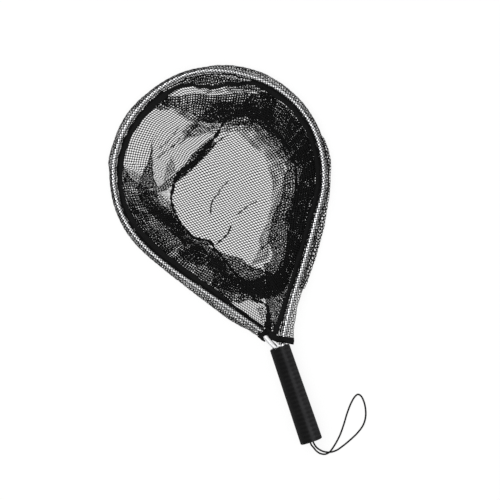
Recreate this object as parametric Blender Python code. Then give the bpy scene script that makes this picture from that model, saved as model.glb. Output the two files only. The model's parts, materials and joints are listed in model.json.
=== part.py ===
"""Shrimp net lying flat, with its net bag collapsed inside the hoop.

Metres, Z up. The grip points to -Y, the hoop to +Y, and the floor is z = 0.
The tapered grip lies along the floor, so the hoop slopes down to its tip.
The hoop is one bent aluminium tube whose two legs are pressed into the core
of a foam grip. A net casing wraps the tube, a tape binds its inner edge, and
a folded net wall drops from there to the net floor of the bag.
"""
import math

import bmesh
import bpy
from mathutils import Vector
from mathutils.geometry import tessellate_polygon

for old in list(bpy.data.objects):
    bpy.data.objects.remove(old, do_unlink=True)

# Driving dimensions, in metres.
OVERALL_LENGTH = 0.545
HOOP_WIDTH = 0.2925
HOOP_SHIFT = -0.00275
TUBE_DIAMETER = 0.008
TUBE_WALL = 0.001
LEG_SPACING = 0.011
LEG_INSERT = 0.092
GRIP_LENGTH = 0.139
GRIP_BUTT_DIAMETER = 0.0315
GRIP_TOP_DIAMETER = 0.0285
CORE_DIAMETER = 0.0218
PLUG_THICKNESS = 0.006
PLUG_RECESS = 0.001
KNOT_DIAMETER = 0.0085
CORD_DIAMETER = 0.002
CORD_SPACING = 0.004
CASING_SLACK = 0.0015
CLOTH_THICKNESS = 0.0007
TAPE_WIDTH = 0.0055
TAPE_THICKNESS = 0.0012
WALL_THICKNESS = 0.0008
LAYER_STEP = 0.0021
FLOOR_THICKNESS = 0.001
SEAM_WIDTH = 0.0036
SEAM_HEIGHT = 0.0024
HEM_LENGTH = 0.0055
HEM_THICKNESS = 0.0009
MESH_BAR = 0.003
GAP = 0.0003

# The mesh stands in the solids as a plain grid: openings along the floor, and
# openings between two turns of the wall's first and last layers.
FLOOR_ROWS = 12
WALL_ROWS = 4

BUTT_HEIGHT = GRIP_BUTT_DIAMETER / 2
TUBE_RADIUS = TUBE_DIAMETER / 2
CASING_OUT = TUBE_RADIUS + CASING_SLACK
HALF_LENGTH = OVERALL_LENGTH / 2
# The casing is pulled in towards the mouth by a third of its slack.
PULL = CASING_SLACK / 3
# From the top of the grip to the middle of the tube at the hoop's tip.
HOOP_REACH = OVERALL_LENGTH - GRIP_LENGTH - CASING_OUT - PULL
# One unit of the sag and fold tables, and one of the small steps in the cloth.
FOLD_UNIT = HOOP_WIDTH / 292.5
CLOTH_UNIT = LAYER_STEP / 2.1
# One unit of the cord's route.
MM = 0.001

# Middle of the tube from the left leg round to the right leg: across in half
# widths of the hoop, and along in reaches of the hoop from the grip.
HOOP_ROUTE = (
    (-0.060, 0.033), (-0.096, 0.068), (-0.188, 0.118), (-0.309, 0.178),
    (-0.518, 0.278), (-0.720, 0.378), (-0.884, 0.476), (-0.976, 0.566),
    (-1.000, 0.653), (-0.966, 0.736), (-0.888, 0.808), (-0.742, 0.879),
    (-0.528, 0.942), (-0.262, 0.986), (0.019, 1.000), (0.292, 0.982),
    (0.566, 0.929), (0.771, 0.862), (0.908, 0.786), (0.981, 0.708),
    (1.000, 0.633), (0.976, 0.556), (0.894, 0.468), (0.732, 0.376),
    (0.552, 0.278), (0.360, 0.180), (0.243, 0.120), (0.156, 0.070),
    (0.092, 0.030),
)
# Outline of the bag's floor, clockwise from above, in the same two units.
FLOOR_ROUTE = (
    (0.075, 0.215), (-0.060, 0.232), (-0.150, 0.285), (-0.205, 0.340),
    (-0.260, 0.392), (-0.300, 0.428), (-0.405, 0.450), (-0.478, 0.498),
    (-0.512, 0.548), (-0.516, 0.590), (-0.478, 0.632), (-0.392, 0.672),
    (-0.290, 0.694), (-0.160, 0.704), (-0.040, 0.738), (0.085, 0.762),
    (0.165, 0.790), (0.240, 0.812), (0.420, 0.800), (0.570, 0.760),
    (0.660, 0.700), (0.720, 0.625), (0.700, 0.550), (0.620, 0.480),
    (0.520, 0.410), (0.430, 0.345), (0.350, 0.280), (0.240, 0.230),
)
# How far the tape hangs inside the tube's middle, beyond its tightest fit,
# at fractions of the way round the hoop.
SAG_KEYS = (
    (0.00, 0.6), (0.10, 1.0), (0.21, 3.0), (0.30, 1.6), (0.44, 1.2),
    (0.475, 3.2), (0.50, 8.6), (0.512, 13.0), (0.532, 14.6), (0.565, 7.2),
    (0.595, 0.5), (0.70, 0.4), (0.92, 0.4), (1.00, 0.8),
)
# The wall's fold round the mouth, in fold units in from the mouth's edge:
# where it turns back at its outer end, and where it turns at its inner end.
FOLD_KEYS = (
    (0.00, 36.0, 74.0), (0.03, 16.0, 64.0), (0.06, 6.0, 54.0),
    (0.10, 6.0, 48.0), (0.15, 6.0, 50.0), (0.20, 5.0, 52.0),
    (0.26, 5.0, 56.0), (0.30, 14.0, 52.0), (0.345, 34.0, 38.0),
    (0.36, 36.0, 37.5), (0.45, 40.0, 41.0), (0.475, 22.0, 56.0),
    (0.50, 16.0, 46.0), (0.53, 10.0, 48.0), (0.56, 6.0, 48.0),
    (0.60, 3.0, 56.0), (0.64, -4.0, 56.0), (0.68, -8.0, 48.0),
    (0.71, -17.0, 49.0), (0.735, -25.3, 48.0), (0.76, -22.5, 47.0),
    (0.82, -24.0, 46.0), (0.85, -24.0, 50.0), (0.875, -24.0, 54.0),
    (0.90, -8.0, 56.0), (0.93, 4.0, 48.0), (0.97, 30.0, 76.0),
    (1.00, 36.0, 74.0),
)
# How far the wall's foot runs ahead of its mouth, in fractions of the way.
LEAD_KEYS = ((0.0, 0.0), (0.75, 0.0), (0.80, 0.012), (0.85, 0.02), (0.90, 0.04),
             (0.95, 0.035), (1.0, 0.0))
# The side seam from the neck into the folds, in the hoop's two units.
SIDE_ROUTE = (
    (-0.028, 0.092), (-0.012, 0.104), (0.008, 0.118), (0.032, 0.134),
    (0.030, 0.150), (0.000, 0.163), (-0.045, 0.178),
)


def at_hoop(across, along):
    """A point of the hoop's plane, from the butt, in half widths and reaches."""
    return Vector((HOOP_SHIFT + across * HOOP_WIDTH / 2,
                   GRIP_LENGTH + along * HOOP_REACH, 0.0))


def on_floor(across, along):
    """The same point in plan, in the net's own frame."""
    return at_hoop(across, along) - Vector((0, HALF_LENGTH, 0))


def catmull(points, closed, steps=24):
    """Dense points on a centripetal Catmull-Rom curve through points."""
    n = len(points)
    out = []
    spans = n if closed else n - 1
    for i in range(spans):
        if closed:
            p = [points[(i + k - 1) % n] for k in range(4)]
        else:
            p = [points[min(max(i + k - 1, 0), n - 1)] for k in range(4)]
            if i == 0:
                p[0] = p[1] * 2 - p[2]
            if i == spans - 1:
                p[3] = p[2] * 2 - p[1]
        knots = [0.0]
        for a, b in zip(p, p[1:]):
            knots.append(knots[-1] + max((b - a).length, 1e-9) ** 0.5)
        for j in range(steps):
            t = knots[1] + (knots[2] - knots[1]) * j / steps
            a = [p[k].lerp(p[k + 1], (t - knots[k]) / (knots[k + 1] - knots[k]))
                 for k in range(3)]
            b = [a[k].lerp(a[k + 1], (t - knots[k]) / (knots[k + 2] - knots[k]))
                 for k in range(2)]
            out.append(b[0].lerp(b[1], (t - knots[1]) / (knots[2] - knots[1])))
    if not closed:
        out.append(points[-1].copy())
    return out


def spaced(points, count, closed, start=0.0, end=1.0):
    """count points at even steps along a polyline, between two fractions."""
    pts = points + [points[0]] if closed else points
    run = [0.0]
    for a, b in zip(pts, pts[1:]):
        run.append(run[-1] + (b - a).length)
    last = count if closed else count - 1
    out = []
    k = 0
    for i in range(count):
        want = run[-1] * (start + (end - start) * i / last)
        while k < len(run) - 2 and run[k + 1] < want:
            k += 1
        part = (want - run[k]) / max(run[k + 1] - run[k], 1e-12)
        out.append(pts[k].lerp(pts[k + 1], min(max(part, 0.0), 1.0)))
    return out


def inward(path, closed):
    """Unit vectors square to the path in plan, to the right of its run."""
    n = len(path)
    out = []
    for i in range(n):
        a = path[(i - 1) % n] if closed else path[max(i - 1, 0)]
        b = path[(i + 1) % n] if closed else path[min(i + 1, n - 1)]
        d = b - a
        out.append(Vector((d.y, -d.x, 0.0)).normalized())
    return out


def keyed(keys, t):
    """Smooth values between keys of (position, value, ...)."""
    for a, b in zip(keys, keys[1:]):
        if t <= b[0]:
            u = min(max((t - a[0]) / (b[0] - a[0]), 0.0), 1.0)
            u = u * u * (3 - 2 * u)
            return [x + (y - x) * u for x, y in zip(a[1:], b[1:])]
    return list(keys[-1][1:])


def material(name, colour, roughness, metallic=0.0):
    mat = bpy.data.materials.new(name)
    mat.use_nodes = True
    bsdf = mat.node_tree.nodes["Principled BSDF"]
    bsdf.inputs["Base Color"].default_value = (*colour, 1.0)
    bsdf.inputs["Roughness"].default_value = roughness
    bsdf.inputs["Metallic"].default_value = metallic
    return mat


def finish(name, bm, mat, parent, smooth_shaded=True):
    """Turn a bmesh into the named object, faces outward."""
    bmesh.ops.recalc_face_normals(bm, faces=bm.faces)
    mesh = bpy.data.meshes.new(name)
    bm.to_mesh(mesh)
    bm.free()
    for poly in mesh.polygons:
        poly.use_smooth = smooth_shaded
    mesh.materials.append(mat)
    obj = bpy.data.objects.new(name, mesh)
    bpy.context.scene.collection.objects.link(obj)
    obj.parent = parent
    return obj


def loops_to_faces(bm, loops, closed_run, flip=False):
    n = len(loops)
    for i in range(n if closed_run else n - 1):
        a, b = loops[i], loops[(i + 1) % n]
        m = len(a)
        for j in range(m):
            quad = [a[j], a[(j + 1) % m], b[(j + 1) % m], b[j]]
            bm.faces.new(quad[::-1] if flip else quad)


def skin(name, rings, mat, parent, closed_run=False):
    """A closed solid swept through rings of points, capped when open."""
    bm = bmesh.new()
    loops = [[bm.verts.new(p) for p in ring] for ring in rings]
    loops_to_faces(bm, loops, closed_run)
    if not closed_run:
        bm.faces.new(loops[0])
        bm.faces.new(loops[-1][::-1])
    return finish(name, bm, mat, parent)


def hollow(name, outer, inner, mat):
    """An open-ended hollow sweep with flat ring ends."""
    bm = bmesh.new()
    big = [[bm.verts.new(p) for p in ring] for ring in outer]
    small = [[bm.verts.new(p) for p in ring] for ring in inner]
    loops_to_faces(bm, big, False)
    loops_to_faces(bm, small, False, flip=True)
    for a, b in ((big[0], small[0]), (small[-1], big[-1])):
        m = len(a)
        for j in range(m):
            bm.faces.new([a[j], b[j], b[(j + 1) % m], a[(j + 1) % m]])
    return finish(name, bm, mat, tool)


def turned(name, profile, mat, segments=32):
    """A closed outline of (y, radius) turned round the grip's axis."""
    bm = bmesh.new()
    loops = []
    for k in range(segments):
        a = 2 * math.pi * k / segments
        loops.append([(r * math.sin(a), y, r * math.cos(a)) for y, r in profile])
    rows = [[bm.verts.new(p) for p in ring] for ring in loops]
    loops_to_faces(bm, rows, True)
    bmesh.ops.remove_doubles(bm, verts=bm.verts, dist=1e-6)
    return finish(name, bm, mat, tool)


def placed(path, normals, sections):
    """Section points of (in, up) set square to a flat path."""
    return [[p + n * u + Vector((0, 0, v)) for u, v in sec]
            for p, n, sec in zip(path, normals, sections)]


root = bpy.data.objects.new("shrimp_net", None)
bpy.context.scene.collection.objects.link(root)

# The tool's own frame: its origin is the middle of the butt and its Y the
# grip's axis, tilted so that the tapered grip lies flat along the floor.
tilt = math.atan((GRIP_BUTT_DIAMETER - GRIP_TOP_DIAMETER) / 2 / GRIP_LENGTH)
tool = bpy.data.objects.new("tool_frame", None)
bpy.context.scene.collection.objects.link(tool)
tool.parent = root
tool.location = (0, -HALF_LENGTH, BUTT_HEIGHT)
tool.rotation_euler = (-tilt, 0, 0)


def in_net(p):
    """A point of the tool's frame in the net's own frame."""
    c, s = math.cos(tilt), math.sin(tilt)
    return Vector((p.x, p.y * c + p.z * s - HALF_LENGTH,
                   BUTT_HEIGHT - p.y * s + p.z * c))


aluminium = material("aluminium", (0.82, 0.83, 0.85), 0.22, 1.0)
foam = material("foam", (0.022, 0.022, 0.024), 0.85)
core_plastic = material("core_plastic", (0.10, 0.10, 0.11), 0.5)
plug_plastic = material("plug_plastic", (0.03, 0.03, 0.032), 0.45)
cord_black = material("cord", (0.015, 0.015, 0.016), 0.7)
knot_black = material("knot", (0.017, 0.017, 0.018), 0.75)
casing_net = material("casing_net", (0.06, 0.06, 0.063), 0.8)
tape_black = material("tape", (0.012, 0.012, 0.013), 0.75)
hem_left_black = material("hem_left", (0.014, 0.014, 0.015), 0.75)
hem_right_black = material("hem_right", (0.014, 0.014, 0.015), 0.75)
wall_net = material("wall_net", (0.04, 0.04, 0.042), 0.85)
floor_net = material("floor_net", (0.09, 0.09, 0.093), 0.85)
floor_seam_black = material("floor_seam", (0.012, 0.012, 0.013), 0.8)
side_seam_black = material("side_seam", (0.013, 0.013, 0.014), 0.8)

# The hoop's tube: straight legs inside the grip and a smooth bend outside.
leg = LEG_SPACING / 2
grip_top = GRIP_LENGTH
bend = [at_hoop(*p) for p in HOOP_ROUTE]
left_leg = [Vector((-leg, grip_top - d, 0)) for d in (LEG_INSERT, 1.5 * TUBE_WALL, 0)]
right_leg = [Vector((leg, grip_top - d, 0)) for d in (0, 1.5 * TUBE_WALL, LEG_INSERT)]
outside = catmull(left_leg[1:] + bend + right_leg[:2], False)[24:-24]

# The casing runs over all but the two ends of the bend, on the same stations.
CASING_STATIONS = 62
CASING_START, CASING_END = 0.022, 0.994
casing_path = spaced(outside, CASING_STATIONS, False, CASING_START, CASING_END)
casing_in = inward(casing_path, False)
tube_path = ([left_leg[0], outside[0]]
             + spaced(outside, 2, False, CASING_START / 2, CASING_START)[:1]
             + casing_path + [outside[-1], right_leg[-1]])
TUBE_STATIONS = len(tube_path)
tube_in = inward(tube_path, False)
tube_in[0] = tube_in[1] = Vector((1, 0, 0))
tube_in[-1] = tube_in[-2] = Vector((-1, 0, 0))
SIDES = 12


def circle(radius, count=SIDES):
    return [(radius * math.cos(2 * math.pi * k / count),
             radius * math.sin(2 * math.pi * k / count)) for k in range(count)]


hollow("hoop_tube",
       placed(tube_path, tube_in, [circle(TUBE_RADIUS)] * TUBE_STATIONS),
       placed(tube_path, tube_in,
              [circle(TUBE_RADIUS - TUBE_WALL)] * TUBE_STATIONS),
       aluminium)

# The grip and what it holds.
core_r = CORE_DIAMETER / 2
bore_r = core_r + GAP
butt_r = GRIP_BUTT_DIAMETER / 2
top_r = GRIP_TOP_DIAMETER / 2
# Both ends are rounded over two thirds of the foam's thinnest wall.
edge = (top_r - bore_r) * 0.66
turned("grip", [
    (0.0, bore_r), (0.0, butt_r - edge), (edge * 0.25, butt_r - edge * 0.4),
    (edge, butt_r + (top_r - butt_r) * edge / GRIP_LENGTH),
    (GRIP_LENGTH * 0.5, (butt_r + top_r) / 2),
    (GRIP_LENGTH - edge, top_r), (GRIP_LENGTH - edge * 0.25, top_r - edge * 0.4),
    (GRIP_LENGTH, top_r - edge), (GRIP_LENGTH, bore_r)], foam, 36)

plug_back = PLUG_RECESS + PLUG_THICKNESS
plug_edge = PLUG_THICKNESS / 8
turned("butt_plug", [
    (PLUG_RECESS, 0.0), (PLUG_RECESS, core_r - plug_edge),
    (PLUG_RECESS + plug_edge, core_r), (plug_back, core_r),
    (plug_back, 0.0)], plug_plastic, 32)

knot_r = KNOT_DIAMETER / 2
knot_mid = plug_back + GAP + knot_r
turned("lanyard_knot", [
    (knot_mid - knot_r * math.cos(math.pi * k / 8),
     knot_r * math.sin(math.pi * k / 8)) for k in range(9)], knot_black, 16)

core_start = knot_mid + knot_r + PLUG_THICKNESS / 2
core_end = GRIP_LENGTH - PLUG_RECESS
turned("handle_core", [
    (core_start, 0.0), (core_start, core_r - plug_edge),
    (core_start + plug_edge, core_r), (core_end - plug_edge, core_r),
    (core_end, core_r - plug_edge), (core_end, 0.0)], core_plastic, 32)
core = bpy.data.objects["handle_core"]
socket_r = (TUBE_RADIUS + GAP) / math.cos(math.pi / SIDES) + GAP / 6
for side, x in (("left", -leg), ("right", leg)):
    bpy.ops.mesh.primitive_cylinder_add(
        vertices=SIDES, radius=socket_r, depth=GRIP_LENGTH * 1.4,
        location=(x, GRIP_LENGTH / 2, 0), rotation=(math.pi / 2, 0, 0))
    cutter = bpy.context.object
    cutter.parent = tool
    cutter.name = "cutter_socket_" + side
    cutter.hide_render = True
    cutter.display_type = "WIRE"
    cut = core.modifiers.new("socket_" + side, "BOOLEAN")
    cut.operation = "DIFFERENCE"
    cut.solver = "EXACT"
    cut.object = cutter

# The casing round the tube, from the left hem to the right hem.
def sag(t):
    return keyed(SAG_KEYS, t)[0] * FOLD_UNIT


def flare(t):
    """Extra room on the casing's outer side, widest at its right end."""
    right = max(0.0, (t - 0.90) / 0.10)
    left = max(0.0, (0.10 - t) / 0.10)
    return (4.6 * right * right + 1.6 * left) * FOLD_UNIT


def casing_section(t, grow):
    """A loop round the tube with a flat tail towards the tape."""
    r = CASING_OUT + grow
    push = -PULL if grow >= 0 else -PULL * 0.6
    tail = CASING_OUT - PULL + sag(t) + grow
    out = []
    for k in range(2, 11):
        a = math.radians(30 * k)
        u = push + r * math.cos(a)
        if math.cos(a) < -0.1:
            u -= flare(t) * -math.cos(a)
        out.append((u, r * math.sin(a)))
    mid = max(push + r * 0.866, (tail + r * 0.5) / 2)
    out.append((mid, -r * 0.5))
    out.append((tail, -0.17 * r))
    out.append((tail, 0.17 * r))
    out.append((mid, r * 0.5))
    return out


fractions = [i / (CASING_STATIONS - 1) for i in range(CASING_STATIONS)]
hollow("net_casing",
       placed(casing_path, casing_in,
              [casing_section(t, 0.0) for t in fractions]),
       placed(casing_path, casing_in,
              [casing_section(t, -CLOTH_THICKNESS) for t in fractions]),
       casing_net)

# A hem round each end of the casing.
for name, mat, ends in (("hem_left", hem_left_black, (0.0, 1)),
                        ("hem_right", hem_right_black, (1.0, -1))):
    reach = sum((b - a).length for a, b in zip(casing_path, casing_path[1:]))
    fr = [ends[0] + ends[1] * HEM_LENGTH / reach * k / 2 for k in range(3)]
    path = [spaced(casing_path, 2, False, f, 1.0 if f < 0.5 else 0.0)[0] for f in fr]
    normals = [n if ends[1] > 0 else -n for n in inward(path, False)]
    hollow(name,
           placed(path, normals, [casing_section(f, GAP + HEM_THICKNESS) for f in fr]),
           placed(path, normals, [casing_section(f, GAP * 7 / 6) for f in fr]), mat)

# The tape along the casing's inner edge.
TAPE_START, TAPE_END = 0.0078, 0.9922
tape_fr = [TAPE_START] + fractions[1:-1] + [TAPE_END]
tape_path = ([spaced(casing_path, 2, False, TAPE_START, 1.0)[0]]
             + casing_path[1:-1]
             + [spaced(casing_path, 2, False, TAPE_END, 0.0)[0]])
tape_in = [casing_in[0]] + casing_in[1:-1] + [casing_in[-1]]
tape_sections = []
for t in tape_fr:
    near = CASING_OUT - PULL + sag(t) + GAP
    far = near + TAPE_WIDTH
    h = TAPE_THICKNESS / 2
    tape_sections.append([(near, -h), (far - h, -h), (far, 0), (far - h, h), (near, h)])
skin("mouth_tape", placed(tape_path, tape_in, tape_sections), tape_black, tool)

# The mouth's edge, where the wall hangs, is a closed loop under the tape.
mouth = [p + n * (CASING_OUT - PULL + sag(t) + GAP + TAPE_WIDTH * 0.6)
         for p, n, t in zip(tape_path, tape_in, tape_fr)]
mouth = catmull([in_net(p) for p in mouth], True, 6)
floor_edge = catmull([on_floor(*p) for p in FLOOR_ROUTE], True, 12)
WALL_STATIONS = 64
mouth = spaced(mouth, WALL_STATIONS, True)
foot_line = [p - n * (SEAM_WIDTH / 2 + GAP * 4 / 3)
             for p, n in zip(floor_edge, inward(floor_edge, True))]
wall_foot = []
for k in range(WALL_STATIONS):
    t = k / WALL_STATIONS
    at = min(t + keyed(LEAD_KEYS, t)[0], 0.9999)
    wall_foot.append(spaced(foot_line, 1, True, at, at)[0])


def wall_profile(t, depth, hang):
    """Middle of the wall's sheet, as (in from the mouth, height)."""
    turn_out, turn_in = (v * FOLD_UNIT for v in keyed(FOLD_KEYS, t))
    top = hang - TAPE_THICKNESS / 2 - GAP - WALL_THICKNESS
    step = LAYER_STEP
    low = SEAM_HEIGHT * 0.55
    u = CLOTH_UNIT
    first = low + 2 * step + 1.2 * u
    end = depth
    turn_in = max(turn_in, turn_out + 1.0 * u)
    pts = [(0.0, top), (0.8 * u, top * 0.62 + first * 0.38),
           (2.6 * u, first + min(1.2 * u, (top - first) * 0.45)),
           (6.5 * u, first + 0.2 * u)]
    if turn_in > 9.0 * u:
        pts.append((6.5 * u * 0.5 + turn_in * 0.5, first - 0.3 * u))
    pts += [(turn_in, first - 0.6 * u), (turn_in + 0.7 * u, first - 1.5 * u),
            (turn_in, low + step + 0.5 * u),
            ((turn_in + turn_out) / 2, low + step + 0.2 * u),
            (turn_out, low + step - 0.1 * u), (turn_out - 0.7 * u, low + step * 0.62),
            (turn_out, low + step * 0.25)]
    for k in range(1, WALL_ROWS):
        part = k / WALL_ROWS
        pts.append((turn_out + (end - turn_out) * part, low + (1 - part) * 0.2 * u))
    pts.append((end, low))
    return pts


def sheet_loop(pts, thickness):
    """A profile given thickness, as one closed loop of points."""
    up, down = [], []
    n = len(pts)
    for i, (s, z) in enumerate(pts):
        a, b = pts[max(i - 1, 0)], pts[min(i + 1, n - 1)]
        d = math.hypot(b[0] - a[0], b[1] - a[1])
        nx, nz = -(b[1] - a[1]) / d, (b[0] - a[0]) / d
        up.append((s + nx * thickness / 2, z + nz * thickness / 2))
        down.append((s - nx * thickness / 2, z - nz * thickness / 2))
    return up + down[::-1]


def one_layer(t):
    """Whether the wall's fold is too narrow to show, at t round the mouth."""
    turn_out, turn_in = keyed(FOLD_KEYS, t)
    return turn_in - turn_out < 3.5


def framed(bm, outer, other, bar):
    """Frames two facing quads round an opening that joins them."""
    cuts = []
    for quad in (outer, other):
        a, b, c, d = (v.co.copy() for v in quad)
        fx = min(bar / ((b - a).length + (c - d).length), 0.4)
        fy = min(bar / ((d - a).length + (c - b).length), 0.4)
        cuts.append([bm.verts.new(a.lerp(b, x).lerp(d.lerp(c, x), y))
                     for x, y in ((fx, fy), (1 - fx, fy), (1 - fx, 1 - fy), (fx, 1 - fy))])
    for quad, cut in zip((outer, other), cuts):
        for j in range(4):
            bm.faces.new([quad[j], quad[(j + 1) % 4], cut[(j + 1) % 4], cut[j]])
    for j in range(4):
        bm.faces.new([cuts[0][j], cuts[0][(j + 1) % 4],
                      cuts[1][(j + 1) % 4], cuts[1][j]])


rings = []
most = max(len(wall_profile(k / WALL_STATIONS, 0.05, 0.01))
           for k in range(WALL_STATIONS))
for k in range(WALL_STATIONS):
    edge = Vector((mouth[k].x, mouth[k].y, 0))
    depth = (wall_foot[k] - edge).length
    way = (wall_foot[k] - edge) / depth
    pts = wall_profile(k / WALL_STATIONS, depth, mouth[k].z)
    if len(pts) < most:
        pts.insert(4, ((pts[3][0] + pts[4][0]) / 2, (pts[3][1] + pts[4][1]) / 2))
    rings.append([edge + way * s + Vector((0, 0, z))
                  for s, z in sheet_loop(pts, WALL_THICKNESS)])

# Openings go through the wall's first and last layers where it isn't folded.
bm = bmesh.new()
loops = [[bm.verts.new(p) for p in ring] for ring in rings]
size = len(loops[0])
open_rows = (3, 4) + tuple(range(most - 1 - WALL_ROWS, most - 1))
for k in range(WALL_STATIONS):
    a, b = loops[k], loops[(k + 1) % WALL_STATIONS]
    pierced = one_layer(k / WALL_STATIONS) and one_layer((k + 1) / WALL_STATIONS)
    for j in range(size):
        twin = 2 * most - 2 - j
        if pierced and j in open_rows:
            framed(bm, [a[j], a[j + 1], b[j + 1], b[j]],
                   [a[twin + 1], a[twin], b[twin], b[twin + 1]], MESH_BAR)
        elif not (pierced and twin in open_rows):
            bm.faces.new([a[j], a[(j + 1) % size], b[(j + 1) % size], b[j]])
finish("bag_wall", bm, wall_net, root)

# The seam round the bag's floor, and the floor inside it.
seam_path = spaced(floor_edge, 64, True)
seam_in = inward(seam_path, True)
w, h = SEAM_WIDTH / 2, SEAM_HEIGHT
seam_section = [(-w, h * 0.3), (-w * 0.5, 0.0), (w * 0.5, 0.0), (w, h * 0.3),
                (w, h * 0.6), (w * 0.4, h), (-w * 0.4, h), (-w, h * 0.6)]
skin("floor_seam", placed(seam_path, seam_in, [seam_section] * 64),
     floor_seam_black, root, closed_run=True)



def clipped(outline, low, high):
    """The part of a plan outline inside the upright box from low to high."""
    for axis in (0, 1):
        for limit, side in ((low[axis], 1), (high[axis], -1)):
            kept = []
            for p, q in zip(outline, outline[1:] + outline[:1]):
                dp, dq = side * (p[axis] - limit), side * (q[axis] - limit)
                if dp >= 0:
                    kept.append(p)
                if dp * dq < 0:
                    kept.append(p.lerp(q, dp / (dp - dq)))
            outline = kept
    return outline


def plan_area(points):
    return abs(sum(p.x * q.y - q.x * p.y
                   for p, q in zip(points, points[1:] + points[:1]))) / 2


# The floor's grid has a crossing at its middle, and no opening under a quarter
# of a whole one.
rim = [p + n * (w + GAP) for p, n in zip(seam_path, seam_in)]
inner = [p + n * (w + GAP + MESH_BAR * 0.8) for p, n in zip(seam_path, seam_in)]
floor_low = Vector((min(p.x for p in rim), min(p.y for p in rim), 0))
floor_high = Vector((max(p.x for p in rim), max(p.y for p in rim), 0))
middle = (floor_low + floor_high) / 2
pitch = (floor_high.y - floor_low.y) / FLOOR_ROWS
holes = []
for i in range(-FLOOR_ROWS // 2, FLOOR_ROWS // 2):
    for j in range(-FLOOR_ROWS // 2, FLOOR_ROWS // 2):
        corner = middle + Vector((i, j, 0)) * pitch
        half_bar = Vector((1, 1, 0)) * MESH_BAR / 2
        far = corner + Vector((1, 1, 0)) * pitch
        hole = clipped(inner, corner + half_bar, far - half_bar)
        if len(hole) > 2 and plan_area(hole) > (pitch - MESH_BAR) ** 2 / 4:
            holes.append(hole)
bm = bmesh.new()
levels = [[[bm.verts.new(p + Vector((0, 0, z))) for p in loop] for loop in [rim] + holes]
          for z in (0.0, FLOOR_THICKNESS)]
for low_loop, top_loop in zip(*levels):
    loops_to_faces(bm, [low_loop, top_loop], False)
for level in levels:
    flat = [v for loop in level for v in loop]
    for tri in tessellate_polygon([[v.co for v in loop] for loop in level]):
        bm.faces.new([flat[k] for k in tri])
finish("bag_floor", bm, floor_net, root, smooth_shaded=False)

# The side seam lies on the wall's first layer, from the neck to the folds.
side_path = spaced(catmull([on_floor(*p) for p in SIDE_ROUTE], False), 16, False)
side_in = inward(side_path, False)
first_layer = SEAM_HEIGHT * 0.55 + 2 * LAYER_STEP + 1.2 * CLOTH_UNIT
side_rings = []
for p, n in zip(side_path, side_in):
    near = min(math.hypot(p.x - q.x, p.y - q.y) for q in mouth)
    drop = min(near / (9.0 * CLOTH_UNIT), 1.0)
    z = first_layer + 1.2 * CLOTH_UNIT + 4.0 * CLOTH_UNIT * (1 - drop)
    side_rings.append([p + n * u + Vector((0, 0, z + v)) for u, v in (
        (-1.6 * CLOTH_UNIT, 0.0), (1.6 * CLOTH_UNIT, 0.0), (1.6 * CLOTH_UNIT, 0.9 * CLOTH_UNIT),
        (0.0, 1.3 * CLOTH_UNIT), (-1.6 * CLOTH_UNIT, 0.9 * CLOTH_UNIT))])
skin("side_seam", side_rings, side_seam_black, root)

# The wrist cord: a loop whose two ends meet the plug in the butt.
CORD_ROUTE = (
    (0.0, -9.5, 12.6), (2.2, -15.5, 7.8), (6.2, -21.0, 3.6), (12.0, -24.2, 1.35),
    (17.0, -24.0, 1.05), (21.0, -22.3, 1.05), (30.0, -15.5, 1.05), (40.0, -6.0, 1.05),
    (50.0, 6.5, 1.05), (60.0, 20.5, 1.05), (70.0, 32.3, 1.05), (77.5, 38.6, 1.05),
    (82.3, 40.2, 1.05), (85.6, 37.0, 1.05), (87.0, 29.0, 1.05), (86.0, 18.0, 1.05),
    (82.2, 6.5, 1.05), (75.5, -2.8, 1.05), (65.0, -10.3, 1.05), (50.0, -17.3, 1.05),
    (38.0, -21.7, 1.05), (29.0, -24.1, 1.5), (19.8, -23.6, 3.5), (12.6, -20.3, 6.0),
    (7.0, -15.2, 9.2), (3.6, -9.6, 12.6),
)
cord_x = CORD_SPACING / 2
cord_y = PLUG_RECESS - GAP
run_out = CORD_DIAMETER * 1.6
cord_points = [Vector((-cord_x, cord_y, BUTT_HEIGHT)),
               Vector((-cord_x, cord_y - run_out, BUTT_HEIGHT)),
               Vector((-cord_x * 0.9, cord_y - run_out * 1.6, BUTT_HEIGHT - CORD_DIAMETER / 5))]
cord_points += [Vector((x * MM, y * MM, max(z * MM, 0.0) + CORD_DIAMETER / 2 - MM))
                for x, y, z in CORD_ROUTE]
cord_points += [Vector((cord_x * 1.15, cord_y - run_out * 1.6, BUTT_HEIGHT - CORD_DIAMETER / 5)),
                Vector((cord_x, cord_y - run_out, BUTT_HEIGHT)),
                Vector((cord_x, cord_y, BUTT_HEIGHT))]
cord_line = spaced(catmull(cord_points[1:-1], False), 76, False)
cord_line = [cord_points[0]] + cord_line + [cord_points[-1]]
curve = bpy.data.curves.new("lanyard", "CURVE")
curve.dimensions = "3D"
curve.bevel_depth = CORD_DIAMETER / 2
curve.bevel_resolution = 2
curve.use_fill_caps = True
spline = curve.splines.new("POLY")
spline.points.add(len(cord_line) - 1)
for point, p in zip(spline.points, cord_line):
    point.co = (p.x, p.y - HALF_LENGTH, p.z, 1.0)
spline.use_smooth = True
curve.materials.append(cord_black)
lanyard = bpy.data.objects.new("lanyard", curve)
bpy.context.scene.collection.objects.link(lanyard)
lanyard.parent = root
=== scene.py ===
"""Looks of a shrimp net that lies flat with its bag folded inside the hoop.

Metres, Z up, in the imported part's frame. Tables in thousandths are plan places
measured from the middle of the grip's butt: x to the right, y to the tip.
"""

import json
import math

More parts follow.
